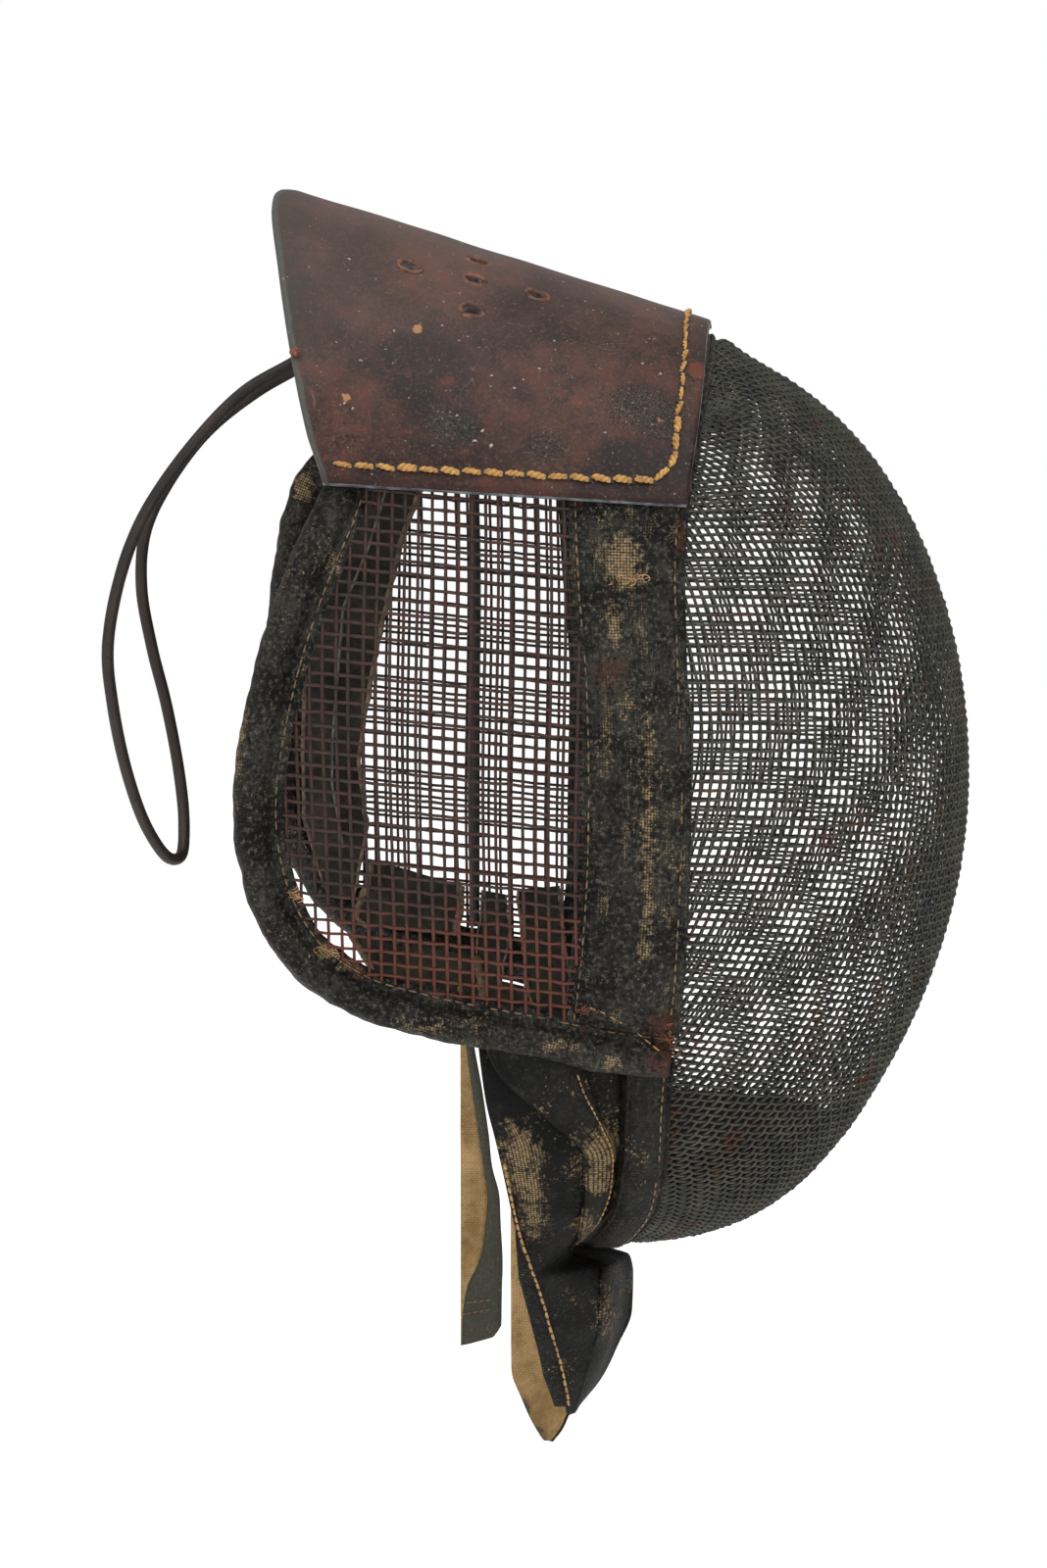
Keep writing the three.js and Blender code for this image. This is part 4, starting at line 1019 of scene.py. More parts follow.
def net_finish(name, colours):
    """Net wire with brown rust that turns redder towards the jaw."""
    m, place, _ = new_finish(name)
    tone = m.noise(place, 120.0, 4.0, 0.6, 1.0)
    fine = m.noise(place, 1500.0, 3.0, 0.65, 2.0)
    height = m.parts(place)[2]
    low = m.plus(m.step(height, -0.185, -0.222), m.times(m.minus(tone, 0.5), 0.9))
    base = m.mix(m.step(tone, 0.34, 0.66), "201510", colours.net_brown)
    colour = m.mix(m.step(low, 0.35, 0.9), base, colours.net_red)
    colour = m.over(colour, m.step(fine, 0.55, 0.8), 0.5, "8a5236")
    m.surface("Base Color", colour)
    m.surface("Metallic", 0.25)
    m.surface("Roughness", m.step(fine, 0.2, 0.8, 0.55, 0.9))
    m.bump(m.plus(fine, tone), 0.5, 0.00015)


# Pieces


def soften(piece, levels):
    """Smooths a piece by subdivision, applied to its mesh."""
    modifier = piece.modifiers.new("soften", "SUBSURF")
    modifier.levels = modifier.render_levels = levels
    apply_modifiers(piece)


def apply_modifiers(piece):
    graph = bpy.context.evaluated_depsgraph_get()
    mesh = bpy.data.meshes.new_from_object(piece.evaluated_get(graph))
    piece.modifiers.clear()
    old = piece.data
    piece.data = mesh
    bpy.data.meshes.remove(old)


def thicken(piece, thickness, back=0, rim=0):
    """Gives a sheet its thickness in millimetres, with other finishes on its back and rim."""
    thick = piece.modifiers.new("thick", "SOLIDIFY")
    thick.thickness, thick.offset = thickness / 1000, 0
    thick.material_offset, thick.material_offset_rim = back, rim
    apply_modifiers(piece)


def face_shell():
    """The wire face as a smooth surface that runs on behind the rim."""
    along = np.concatenate([[0], np.linspace(0.3, FACE_LENGTH - 0.3, 150), [FACE_LENGTH]])
    turn = np.linspace(-math.pi / 2, math.pi / 2, 100)
    points = face_point(along[:, None], turn[None, :])
    behind = [points[:, :1] - np.array([step, 0, 0]) for step in (24.0, 12.0)]
    beyond = [points[:, -1:] - np.array([step, 0, 0]) for step in (12.0, 24.0)]
    whole = np.concatenate(behind + [points] + beyond, axis=1)
    faces = grid_faces(*whole.shape[:2])
    return BVHTree.FromPolygons(whole.reshape(-1, 3).tolist(), faces.tolist())


def draped_grid(shell, pitch):
    """Crossings of a square net draped over the face from its middle, keeping the pitch."""
    middle_height = 10.0
    front = Vector(face_point(along_at_height(middle_height), 0.0))

    def on_shell(point):
        return shell.find_nearest(point)[0]

    def run(start, direction, count, plane):
        points = [start]
        heading = Vector(direction)
        for _ in range(count):
            guess = points[-1] + heading * pitch
            for _ in range(8):
                guess = on_shell(guess)
                guess[plane] = start[plane]
                away = guess - points[-1]
                guess = points[-1] + away * (pitch / away.length)
            heading = (guess - points[-1]).normalized()
            points.append(guess)
        return points

    rows_up, rows_down, columns = 62, 74, 54
    upward = run(front, (0, 0, 1), rows_up, 1)
    downward = run(front, (0, 0, -1), rows_down, 1)
    sideways = run(front, (0, -1, 0), columns, 2)
    quarters = []
    for spine in (upward, downward):
        grid = [[None] * (columns + 1) for _ in spine]
        for i, point in enumerate(spine):
            grid[i][0] = point
        grid[0] = list(sideways)
        for i in range(1, len(spine)):
            for j in range(1, columns + 1):
                above, beside, corner = grid[i - 1][j], grid[i][j - 1], grid[i - 1][j - 1]
                guess = above + beside - corner
                for _ in range(9):
                    guess = on_shell(guess)
                    for other in (above, beside):
                        away = guess - other
                        guess += away * (0.5 * (pitch - away.length) / max(away.length, 1e-6))
                grid[i][j] = on_shell(guess)
        quarters.append(np.array([[tuple(p) for p in row] for row in grid]))
    half = np.concatenate([quarters[1][::-1], quarters[0][1:]], axis=0)
    mirrored = half[:, :0:-1] * np.array([1, -1, 1])
    return np.concatenate([mirrored, half], axis=1)


def length_property(name, description, default):
    return bpy.props.FloatProperty(name=name, description=description, default=default, unit="LENGTH")


class MaskSizes(bpy.types.PropertyGroup):
    face_pitch: length_property("Face pitch", "Distance between neighbouring wires of the face", 0.00305)
    face_wire: length_property("Face wire", "Diameter of a face wire", 0.00105)
    net_pitch: length_property("Net pitch", "Distance between neighbouring wires of a side net", 0.0041)
    net_wire: length_property("Net wire", "Diameter of a side net wire", 0.001)
    stitch: length_property("Crown stitch", "Length of a crown stitch with the hole after it", 0.0066)
    thread: length_property("Crown thread", "Width of the waxed thread", 0.0021)


def colour_property(name, description, code):
    return bpy.props.FloatVectorProperty(
        name=name, description=description, default=hexed(code), subtype="COLOR", size=3, min=0, max=1
    )


class MaskColours(bpy.types.PropertyGroup):
    leather: colour_property("Leather", "Main brown of the crown", "422921")
    leather_dark: colour_property("Leather, dark", "Darker brown of the crown", "170f0e")
    leather_red: colour_property("Leather, red", "Red tones of the crown", "54271c")
    # Colour of the painted sheen on the crown's upper part, which stands for light from above.
    leather_painted_top_sheen: colour_property("Leather bloom", "Grey sheen on the top of the crown", "5a4a44")
    thread: colour_property("Waxed thread", "Thread of the crown stitches", "b98c4a")
    oilcloth_dark: colour_property("Oilcloth, dark", "Darkest coat of the oilcloth", "080807")
    oilcloth_light: colour_property("Oilcloth, light", "Lightest coat of the oilcloth", "2b2a25")
    worn_weave: colour_property("Worn weave", "Threads under a rubbed coat", "957f5c")
    net_brown: colour_property("Net brown", "Rust brown of the side nets", "371f16")
    net_red: colour_property("Net red", "Redder rust near the jaw", "4f2518")


class MASK_OT_stage(bpy.types.Operator):
    """Adds the pale floor, the soft studio light and the camera"""

    bl_idname = "mask.stage"
    bl_label = "Stage"

    def execute(self, context):
        scene = context.scene
        bpy.ops.mesh.primitive_plane_add(size=FLOOR_SIZE, location=(0, 0, FLOOR_HEIGHT))
        floor = context.object
        floor.name = "floor"
        floor.data.materials.append(finish("floor"))
        world = bpy.data.worlds.new("studio")
        world.use_nodes = True
        tree = world.node_tree
        seen = tree.nodes["Background"]
        seen.inputs["Color"].default_value = (1, 1, 1, 1)
        seen.inputs["Strength"].default_value = 1.0
        lighting = tree.nodes.new("ShaderNodeBackground")
        lighting.inputs["Color"].default_value = (1, 1, 1, 1)
        lighting.inputs["Strength"].default_value = WORLD_LIGHT
        choice = tree.nodes.new("ShaderNodeMixShader")
        tree.links.new(tree.nodes.new("ShaderNodeLightPath").outputs["Is Camera Ray"], choice.inputs[0])
        tree.links.new(lighting.outputs[0], choice.inputs[1])
        tree.links.new(seen.outputs[0], choice.inputs[2])
        tree.links.new(choice.outputs[0], tree.nodes["World Output"].inputs[0])
        scene.world = world
        for name, place, size, power in LIGHTS:
            data = bpy.data.lights.new(name, "AREA")
            data.shape, data.size, data.energy = "SQUARE", size, power
            lamp = bpy.data.objects.new(name, data)
            scene.collection.objects.link(lamp)
            lamp.location = place
            aim = Vector(LIGHT_AIM) - lamp.location
            lamp.rotation_euler = aim.to_track_quat("-Z", "Y").to_euler()
        data = bpy.data.cameras.new("photo_view")
        data.sensor_fit, data.sensor_width, data.lens = "AUTO", 36.0, PHOTO_LENS
        camera = bpy.data.objects.new("photo_view", data)
        scene.collection.objects.link(camera)
        target = Vector((0, 0, -HEAD_SEAT_HEIGHT / 1000))
        away = Vector((0, -math.cos(PHOTO_ELEVATION), math.sin(PHOTO_ELEVATION)))
        camera.location = target + away * PHOTO_DISTANCE
        camera.rotation_euler = (-away).to_track_quat("-Z", "Y").to_euler()
        scene.camera = camera
        scene.view_settings.view_transform = "Standard"
        return {"FINISHED"}


class MASK_OT_finishes(bpy.types.Operator):
    """Makes the wire, leather, thread and cloth finishes"""

    bl_idname = "mask.finishes"
    bl_label = "Finishes"

    def execute(self, context):
        make_finishes(context.scene.mask_colours)
        return {"FINISHED"}


BEHIND_RIM = 2.0  # the face wires run on behind the rim by this much, under the bands
FACE_LOWEST, FACE_HIGHEST = -151.5, 146.5
WIRE_SWING = 0.84  # half the height of a face wire's waves, in wire radii
NET_SWING = 0.9


class MASK_OT_wire_face(bpy.types.Operator):
    """Weaves the steel wire face as one net draped over the dome"""

    bl_idname = "mask.wire_face"
    bl_label = "Wire face"

    def execute(self, context):
        sizes = context.scene.mask_sizes
        grid = draped_grid(face_shell(), sizes.face_pitch * 1000)
        draw = np.random.default_rng(5)
        grid = grid + draw.normal(0, 0.07, grid.shape)
        keep = grid[..., 0] > rim_x(grid[..., 2]) - BEHIND_RIM
        keep &= (grid[..., 2] > FACE_LOWEST) & (grid[..., 2] < FACE_HIGHEST)

        def held(point):
            return point[0] > rim_x(point[2]) - BEHIND_RIM

        radius = sizes.face_wire * 500
        for name, family, phase in (("face_wires_cross", 0, 1), ("face_wires_upright", 1, -1)):
            skin = Skin()
            woven(skin, grid, keep, WIRE_SWING * radius, radius, 5, family, phase, held)
            skin.piece(name, "face_wire", "face_wire", "face_mesh")
        return {"FINISHED"}


NET_HIDDEN_EDGE = 2.5  # the net runs into the bands and rolls by this much
NET_COLUMNS, NET_ROWS = (-90.0, 30.0), (-84.0, 124.0)
ROD_RADIUS, ROD_INSIDE_NET = 1.9, 3.2
ROD_ENDS = (-58, 104)


class MASK_OT_side_nets(bpy.types.Operator):
    """Weaves the coarser wire nets at the sides, with the upright rod on the left one"""

    bl_idname = "mask.side_nets"
    bl_label = "Side nets"

    def execute(self, context):
        sizes = context.scene.mask_sizes
        pitch, radius = sizes.net_pitch * 1000, sizes.net_wire * 500
        for side, node, seed in ((RIGHT, "side_net_right", 11), (LEFT, "side_net_left", 12)):
            outline = net_outline(side, NET_HIDDEN_EDGE)
            draw = np.random.default_rng(seed)
            columns, rows = np.arange(*NET_COLUMNS, pitch), np.arange(*NET_ROWS, pitch)
            x = columns[None, :] + draw.normal(0, 0.16, (1, len(columns)))
            x = np.repeat(x, len(rows), axis=0)
            x += 0.5 * np.sin(rows[:, None] / 23.0 + columns[None, :] / 40.0 + seed)
            z = rows[:, None] - NET_ROW_SLOPE * (x + 20.0) + draw.normal(0, 0.16, (len(rows), 1))
            z = z + draw.normal(0, 0.1, z.shape)
            keep = inside(placed(x, z), outline)
            grid = side_point(side, x, z, NET_OFFSET)

            def held(point, outline=outline):
                return bool(inside(np.array([point[0], point[2]]), outline))

            skin = Skin()
            for family, phase in ((0, 1), (1, -1)):
                woven(skin, grid, keep, NET_SWING * radius, radius, 6, family, phase, held)
            skin.piece(node + "_wires", "net_wire", "net_wire", node)
        z = np.linspace(*ROD_ENDS, 60)
        line = side_point(LEFT, ROD_X, z, NET_OFFSET - ROD_INSIDE_NET)
        skin = Skin()
        tube(skin, line, [1.0, 0, 0], ROD_RADIUS, 12)
        skin.piece("net_rod_bar", "spring_wire", "spring_wire", "net_rod")
        return {"FINISHED"}


def edge_spread(count, ends):
    """Shares from 0 to 1 with extra ones close to both ends."""
    return np.concatenate([ends, np.linspace(ends[-1], 1 - ends[-1], count)[1:-1], 1 - ends[::-1]])


def crown_mesh():
    ends_u, ends_v = np.array([0, 0.003, 0.008]), np.array([0, 0.0015, 0.004])
    u = edge_spread(90, ends_u)[:, None]
    v = (edge_spread(220, ends_v) * 2 - 1)[None, :]
    round_off = np.zeros((u.shape[0], v.shape[1]))
    for k, drop in enumerate((0.7, 0.2)):
        for edge in (k, -1 - k):
            round_off[edge, :] = np.maximum(round_off[edge, :], drop)
            round_off[:, edge] = np.maximum(round_off[:, edge], drop)
    x, angle = crown_place(u, v)
    outer = arch_point(x, angle, LEATHER_OUTER - 0.15)
    uneven = wobble(outer, 22.0, 3, 0.28) - round_off
    normal = surface_normals(outer)
    if normal[len(u) // 2, v.shape[1] // 2, 2] < 0:
        normal = -normal
    outer = outer + normal * uneven[..., None]
    inner = arch_point(x, angle, LEATHER_INNER)
    rows, columns = outer.shape[:2]
    skin = Skin()
    skin.marks = (LEATHER_RUBS, LEATHER_STAINS, LEATHER_CRACKS)
    count = rows * columns
    faces = [grid_faces(rows, columns), grid_faces(rows, columns, flip=True) + count]
    number = np.arange(count).reshape(rows, columns)
    rim = np.concatenate([number[0, :-1], number[:-1, -1], number[-1, :0:-1], number[:0:-1, 0]])
    ahead = np.roll(rim, -1)
    edge = placed(ahead, rim, rim + count, ahead + count)
    points = np.concatenate([outer.reshape(-1, 3), inner.reshape(-1, 3)])
    to_rear = np.broadcast_to((x - x[-1:, :]), x.shape)
    to_side = np.broadcast_to((1 - np.abs(v)) * 150.0, x.shape)
    edges = placed(to_rear, to_side).reshape(-1, 2)
    skin.add(points, np.concatenate(faces), 0, np.concatenate([edges, edges]))
    skin.more_faces(edge, 1)
    return skin


def vent_frame(side, x, degrees):
    angle = side * math.radians(degrees)
    inner = arch_point(x, angle, LEATHER_INNER - 4)
    outer = arch_point(x, angle, LEATHER_OUTER + 4)
    axis = unit(outer - inner)
    along = unit(np.cross(axis, [0, 1, 0.3]))
    return arch_point(x, angle, LEATHER_OUTER), axis, along, np.cross(axis, along)


PUNCH_REACH = 9.0  # the punch goes through the leather by this much to each side


class MASK_OT_crown(bpy.types.Operator):
    """Builds the leather crown with its cut edges and punched vent holes"""

    bl_idname = "mask.crown"
    bl_label = "Leather crown"

    def execute(self, context):
        crown = crown_mesh().piece("crown_hide", "leather leather_edge", "leather", "crown_leather")
        cutter, rims = Skin(), Skin()
        sides = 28
        turn = turns(sides)
        for side in (RIGHT, LEFT):
            for number, (x, degrees) in enumerate(VENTS):
                middle, axis, along, across = vent_frame(side, x, degrees)
                uneven = 1 + 0.05 * np.sin(turn * 3 + number * 2.1)
                ring = (np.cos(turn)[:, None] * along + np.sin(turn)[:, None] * across) * uneven[:, None]
                body = [middle + ring * VENT_RADIUS + axis * step for step in (-PUNCH_REACH, PUNCH_REACH)]
                start = cutter.count
                cutter.add(body, grid_faces(2, sides, around=True), 1)
                for level, flip in ((start, 1), (start + sides, -1)):
                    cutter.more_faces(fan((level + np.arange(sides))[::flip]), 1)
                reach = (VENT_RADIUS + 0.2) * uneven
                girth = arch_height(x) + LEATHER_OUTER - WIDEST_HEIGHT
                round_it = math.radians(degrees) + reach * np.sin(turn) / girth
                lip = arch_point(x + reach * np.cos(turn), side * round_it, LEATHER_OUTER - 0.5)
                thick = 0.8 + 0.18 * np.sin(turn * 4 + number)
                tube(rims, lip, outward(lip), thick, 8, closed=True)
        tool = cutter.piece("vent_punch", "leather vent_rim")
        bpy.context.view_layer.update()
        cut = crown.modifiers.new("vents", "BOOLEAN")
        cut.operation, cut.solver, cut.object = "DIFFERENCE", "EXACT", tool
        apply_modifiers(crown)
        bpy.data.objects.remove(tool)
        crown.data.set_sharp_from_angle(angle=math.radians(38))
        rims.piece("vent_rims", "vent_rim", "leather")
        return {"FINISHED"}


FRAYED_STITCH = 3  # the stitch that has come loose and thick
FINE_STITCHES = 0.62  # past this share of the path the stitches are finer
PATH_STEP = 0.2
KNOT = (-70.6, -76.0, 141.3)  # rust-coloured knot on the crown's rear edge


def crown_stitch_path(side):
    """Line of the stitches on one side: along the bottom edge, then up beside the front edge."""
    rear_x, front_x = -58.6, 40.2
    x = np.linspace(rear_x, front_x, 60)
    height = crown_edge_height(x) + 5.6 + 0.5 * (x - rear_x) / (front_x - rear_x)
    rise = arch_height(front_x) + LEATHER_OUTER - WIDEST_HEIGHT
    corner_angle = math.acos((height[-1] + 6.0 - WIDEST_HEIGHT) / rise)
    angle = np.linspace(corner_angle, -0.03, 90)
    back = 7.4 - 1.4 * (angle / corner_angle)
    front = crown_edges("front", np.degrees(angle)) - back
    bottom_points = side_point(side, x, height, LEATHER_OUTER)
    return np.concatenate([bottom_points, arch_point(front, side * angle, LEATHER_OUTER)])


def outward(path):
    """Directions out of the wall at points of the crown or the sides."""
    above = np.clip(path[:, 2] - WIDEST_HEIGHT, 0, None)
    rise = arch_height(path[:, 0]) - WIDEST_HEIGHT
    half = arch_half_width(path[:, 0])
    normal = placed(np.zeros(len(path)), path[:, 1] / half**2, above / rise**2)
    return unit(normal)


class MASK_OT_crown_stitches(bpy.types.Operator):
    """Sews the thick waxed stitches along the crown's edges, with a disc of painted shade at each hole"""

    bl_idname = "mask.crown_stitches"
    bl_label = "Crown stitches"

    def execute(self, context):
        sizes = context.scene.mask_sizes
        step, width = sizes.stitch * 1000, sizes.thread * 1000
        threads, holes = Skin(), Skin()
        for side in (RIGHT, LEFT):
            draw = np.random.default_rng(30 + side)
            path = even_path(crown_stitch_path(side), PATH_STEP)
            ups = outward(path)
            count = int(len(path) * PATH_STEP / step)
            for number in range(count):
                start = number * step / PATH_STEP
                take = np.linspace(start + 2.5, start + step / PATH_STEP - 2.5, 15).astype(int)
                take = np.minimum(take, len(path) - 1)
                share = np.linspace(0, 1, 15)
                line, up = path[take], ups[take]
                ahead = unit(np.gradient(line, axis=0))
                aside = np.cross(ahead, up)
                arch = 0.6 * np.sin(math.pi * share) ** 0.5
                plump = draw.uniform(0.78, 1.12) * (1.35 if number == FRAYED_STITCH else 1.0)
                if number > count * FINE_STITCHES:
                    plump *= 0.72
                slant = (share - 0.5)[:, None] * aside * draw.normal(0.7, 0.45)
                slant = slant + aside * draw.normal(0.0, 0.16)
                body = 0.5 * width * plump * (0.5 + 0.5 * np.sin(math.pi * share) ** 0.4)
                for ply in (0.0, math.pi):
                    twist = ply + share * math.pi * 3.2
                    swing = (0.45 * body)[:, None] * (
                        np.cos(twist)[:, None] * aside + np.sin(twist)[:, None] * up
                    )
                    strand = line + slant + up * (arch - 0.1)[:, None] + swing
                    strand = strand + draw.normal(0, 0.06, strand.shape)
                    tube(threads, strand, up, body * 0.62, 7)
                for _ in range(draw.integers(0, 3)):
                    first = draw.integers(2, 12)
                    reach = draw.normal(0, 0.9, 3) + aside[first] * draw.choice([-1.0, 1.0]) * 0.9
                    bend = np.array([0.0, 0.4, 1.0])[:, None]
                    hair = line[first] + up[first] * 0.5 + bend * reach + bend**2 * draw.normal(0, 0.3, 3)
                    tube(threads, hair, up[first], 0.07, 4)
                # A low near-black disc at each hole: painted shade where the hole goes in.
                at = min(int(start), len(path) - 1)
                hole, hole_up, forward = path[at], ups[at], ahead[0]
                turn = turns(10)
                beside = np.cross(forward, hole_up)
                rim = hole + 0.05 * hole_up
                ring = rim + 1.0 * np.cos(turn)[:, None] * forward + 1.45 * np.sin(turn)[:, None] * beside
                cap = np.concatenate([[hole + 0.28 * hole_up], ring])
                holes.add(cap, [(0, 1 + k, 1 + (k + 1) % 10) for k in range(10)])
        knot, middle = Skin(), np.array(KNOT)
        draw = np.random.default_rng(71)
        for _ in range(5):
            first, second = (unit(draw.normal(size=3)) for _ in range(2))
            turn = turns(16)[:, None]
            loop = middle + 1.25 * (np.cos(turn) * first + np.sin(turn) * second)
            tube(knot, loop, unit(loop - middle), 0.5, 6, closed=True)
        knot.piece("rear_knot", "rust_knot", "leather")
        threads.piece("crown_stitches", "waxed_thread", "leather")
        holes.piece("crown_stitch_holes", "stitch_hole_shade", "leather")
        return {"FINISHED"}


BAND_PROFILE = [
    (0.0, 0.2), (0.01, 1.3), (0.035, 1.75), (0.07, 1.55), (0.09, 1.1), (0.115, 1.7), (0.16, 2.5),
    (0.25, 2.95), (0.38, 3.15), (0.5, 3.2), (0.62, 3.15), (0.75, 2.95), (0.84, 2.5), (0.885, 1.7),
    (0.91, 1.1), (0.93, 1.55), (0.965, 1.75), (0.99, 1.3), (1.0, 0.2),
]


def padded_strip(skin, place, lengths, profile, inner, seed, cloth_scale, relief=0.3):
    """A padded strip: place(share, across, offset) gives its points, outer profile and plain back."""
    shares = np.array(lengths)
    across = np.array([a for a, _ in profile])
    offsets = np.array([o for _, o in profile])
    outer = place(shares[:, None], across[None, :], offsets[None, :])
    uneven = wobble(outer, 7.0, seed, relief * 0.5) + wobble(outer, 2.6, seed + 1, relief * 0.25)
    fade = np.clip(np.minimum(across, 1 - across) * 14, 0, 1)
    outer = place(shares[:, None], across[None, :], offsets[None, :] + uneven * fade)
    back_across = np.array([1.0, 0.96, 0.5, 0.04, 0.0])
    back_offsets = np.array([inner * 0.4, inner, inner, inner, inner * 0.4])
    back = place(shares[:, None], back_across[None, :], back_offsets[None, :])
    whole = np.concatenate([outer, back], axis=1)
    rows, columns = whole.shape[:2]
    around = np.concatenate([across, back_across + 1])
    cloth = placed(around[None, :] * cloth_scale[0], shares[:, None] * cloth_scale[1])
    start = skin.count
    skin.grid(whole, 0, cloth, around=True)
    middle = len(profile)
    for row, flip in ((0, 1), (rows - 1, -1)):
        outer_ring = start + row * columns + np.arange(middle)
        inner_ring = start + row * columns + middle + np.arange(5)
        steps = np.linspace(0, 4, middle).round().astype(int)
        for k in range(middle - 1):
            face = [outer_ring[k], outer_ring[k + 1], inner_ring[4 - steps[k + 1]]]
            if steps[k] != steps[k + 1]:
                face.append(inner_ring[4 - steps[k]])
            skin.more_faces([face[::flip]])


def strip_seams(skin, place, lengths, across, offset, seed, length=2.6, gap=1.1, radius=0.3):
    """Stitches along a padded strip at one place across it."""
    shares, across, offset = numbers(lengths, across, offset)
    line, above = place(shares, across, offset), place(shares, across, offset + 1.0)
    sewn(skin, line, unit(above - line), length, gap, radius, seed, arch=0.25, sides=5, skipped=0.12)


# Loose fibres on the right side: name, finish, middle (x, z), spread in x and z, and count.
TUFTS = (
    ("band_tuft_upper", "tuft_tan", (33.5, 72.0), (2.6, 0.9), 20),
    ("band_tuft_lower", "rust_knot", (46.0, -73.0), (1.6, 2.6), 26),
    ("band_tuft_top", "torn_edge", (46.0, 88.0), (0.8, 2.0), 8),
    ("roll_tuft_rear", "tuft_tan", (-70.5, -26.0), (0.9, 1.2), 14),
    ("roll_tuft_jaw", "tuft_tan", (-61.0, -44.5), (2.2, 0.9), 20),
    ("roll_tuft_front", "rust_knot", (19.5, -63.5), (1.4, 0.8), 14),
)
CORNER_FOLD = ((16.5, -63.0), (24.0, -66.0), (31.0, -70.0), (37.0, -74.5), (43.0, -79.0))


def lay_on(pieces, x, z):
    """Point where a straight look along +Y at (x, z) meets the first of some pieces."""
    start = Vector((x / 1000, -0.3, (z - HEAD_SEAT_HEIGHT) / 1000))
    found = []
    for piece in pieces:
        hit, place, _, _ = piece.ray_cast(start, Vector((0, 1, 0)))
        if hit:
            found.append(place.y * 1000)
    return np.array([x, min(found) if found else -95.0, z])


class MASK_OT_bands(bpy.types.Operator):
    """Pads the oilcloth bands beside the rim, under the crown and round the chin"""

    bl_idname = "mask.bands"
    bl_label = "Padded bands"

    def execute(self, context):
        seams = Skin()
        for side, node, seed in ((RIGHT, "side_band_right", 1), (LEFT, "side_band_left", 2)):
            line = RollLine(side)
            along = np.linspace(0, line.length, 500)
            roll_x, roll_top = line.at("x", along), line.at("z", along) + line.at("width", along)
            jaw = along > line.length * 0.55
            roll_x, roll_top = roll_x[jaw], roll_top[jaw]

            def place(share, across, offset, side=side, roll_x=roll_x, roll_top=roll_top):
                level = BAND_BOTTOM + (BAND_TOP_HEIGHT - BAND_BOTTOM) * share
                rear, front = band_rear("x", level), rim_x(level)
                x = rear + (front - rear) * across
                bottom = np.interp(x, roll_x, roll_top) - BAND_INTO_ROLL
                z = bottom + (BAND_TOP_HEIGHT - bottom) * share
                return side_point(side, x, z, 0.0) + placed(0 * x, side * offset, 0 * z)

            skin = Skin()
            skin.marks = (BAND_RUBS, BAND_STAINS, ())
            shares = np.linspace(0, 1, 150)
            padded_strip(skin, place, shares, BAND_PROFILE, BAND_BACK, seed, (34.0, 172.0))
            skin.piece(node + "_cloth", "oilcloth", "oilcloth", node)
            for across in (0.09, 0.91):
                strip_seams(seams, place, shares, across, 1.15, seed * 10 + int(10 * across))

        def arch_place(share, across, offset):
            angle, across = numbers(ARCH_BAND_TURN * (2 * share - 1), across)
            rim = np.full(angle.shape, RIDGE_FRONT_X)
            for _ in range(6):
                rim = rim_x(arch_point(rim, angle, 0.0)[..., 2])
            x = rim - ARCH_BAND_WIDTH * (1 - across)
            return arch_point(x, angle, np.minimum(offset, ARCH_BAND_OUTER))

        skin = Skin()
        size = (ARCH_BAND_WIDTH, 190.0)
        padded_strip(skin, arch_place, np.linspace(0, 1, 120), BAND_PROFILE, BAND_BACK, 5, size, 0.2)
        skin.piece("arch_band_cloth", "oilcloth", "oilcloth", "arch_band")

        top = along_at_height(CHIN_BAND_TOP)

        def chin_place(share, across, offset):
            share, across, offset = numbers(share, across, offset)
            along = top * np.abs(1 - 2 * share)
            side = np.where(share < 0.5, RIGHT, LEFT)
            half, z = face_section("half", along), face_section("z", along)
            a, b = np.maximum(0, along - 0.5), along + 0.5
            dh = face_section("half", b) - face_section("half", a)
            dz = face_section("z", b) - face_section("z", a)
            run = np.hypot(dh, dz)
            out_y, out_z = dz / run, -dh / run
            x = rim_x(z) - CHIN_BAND_WIDTH * (1 - across)
            return placed(x, side * (half + out_y * offset), z + out_z * offset)

        skin = Skin()
        chin_profile = [(a, o * 0.8) for a, o in BAND_PROFILE]
        shares = np.linspace(0, 1, 160)
        size = (CHIN_BAND_WIDTH, 210.0)
        padded_strip(skin, chin_place, shares, chin_profile, CHIN_BAND_BACK, 8, size, 0.2)
        skin.piece("chin_band_cloth", "oilcloth_chin", "oilcloth", "chin_band")
        strip_seams(seams, chin_place, shares, 0.78, 2.25, 77)
        seams.piece("band_stitches", "seam_thread", "oilcloth")
        return {"FINISHED"}


ROLL_FLANGE = [
    (2.6, -1.6), (5.0, -1.3), (7.6, -1.1), (8.0, 0.0), (7.6, 1.2), (6.2, 1.7), (5.1, 1.5), (3.6, 2.2)
]


def roll_profile():
    """Section of a roll: the bulge at the free edge and the flat sewn flange beside the net."""
    turn = np.radians(np.linspace(38, 322, 19))
    bulge_a = -2.7 + 5.3 * np.cos(turn)
    bulge_b = 0.3 + 6.9 * np.sin(turn)
    return np.array(list(zip(bulge_a, bulge_b)) + ROLL_FLANGE)


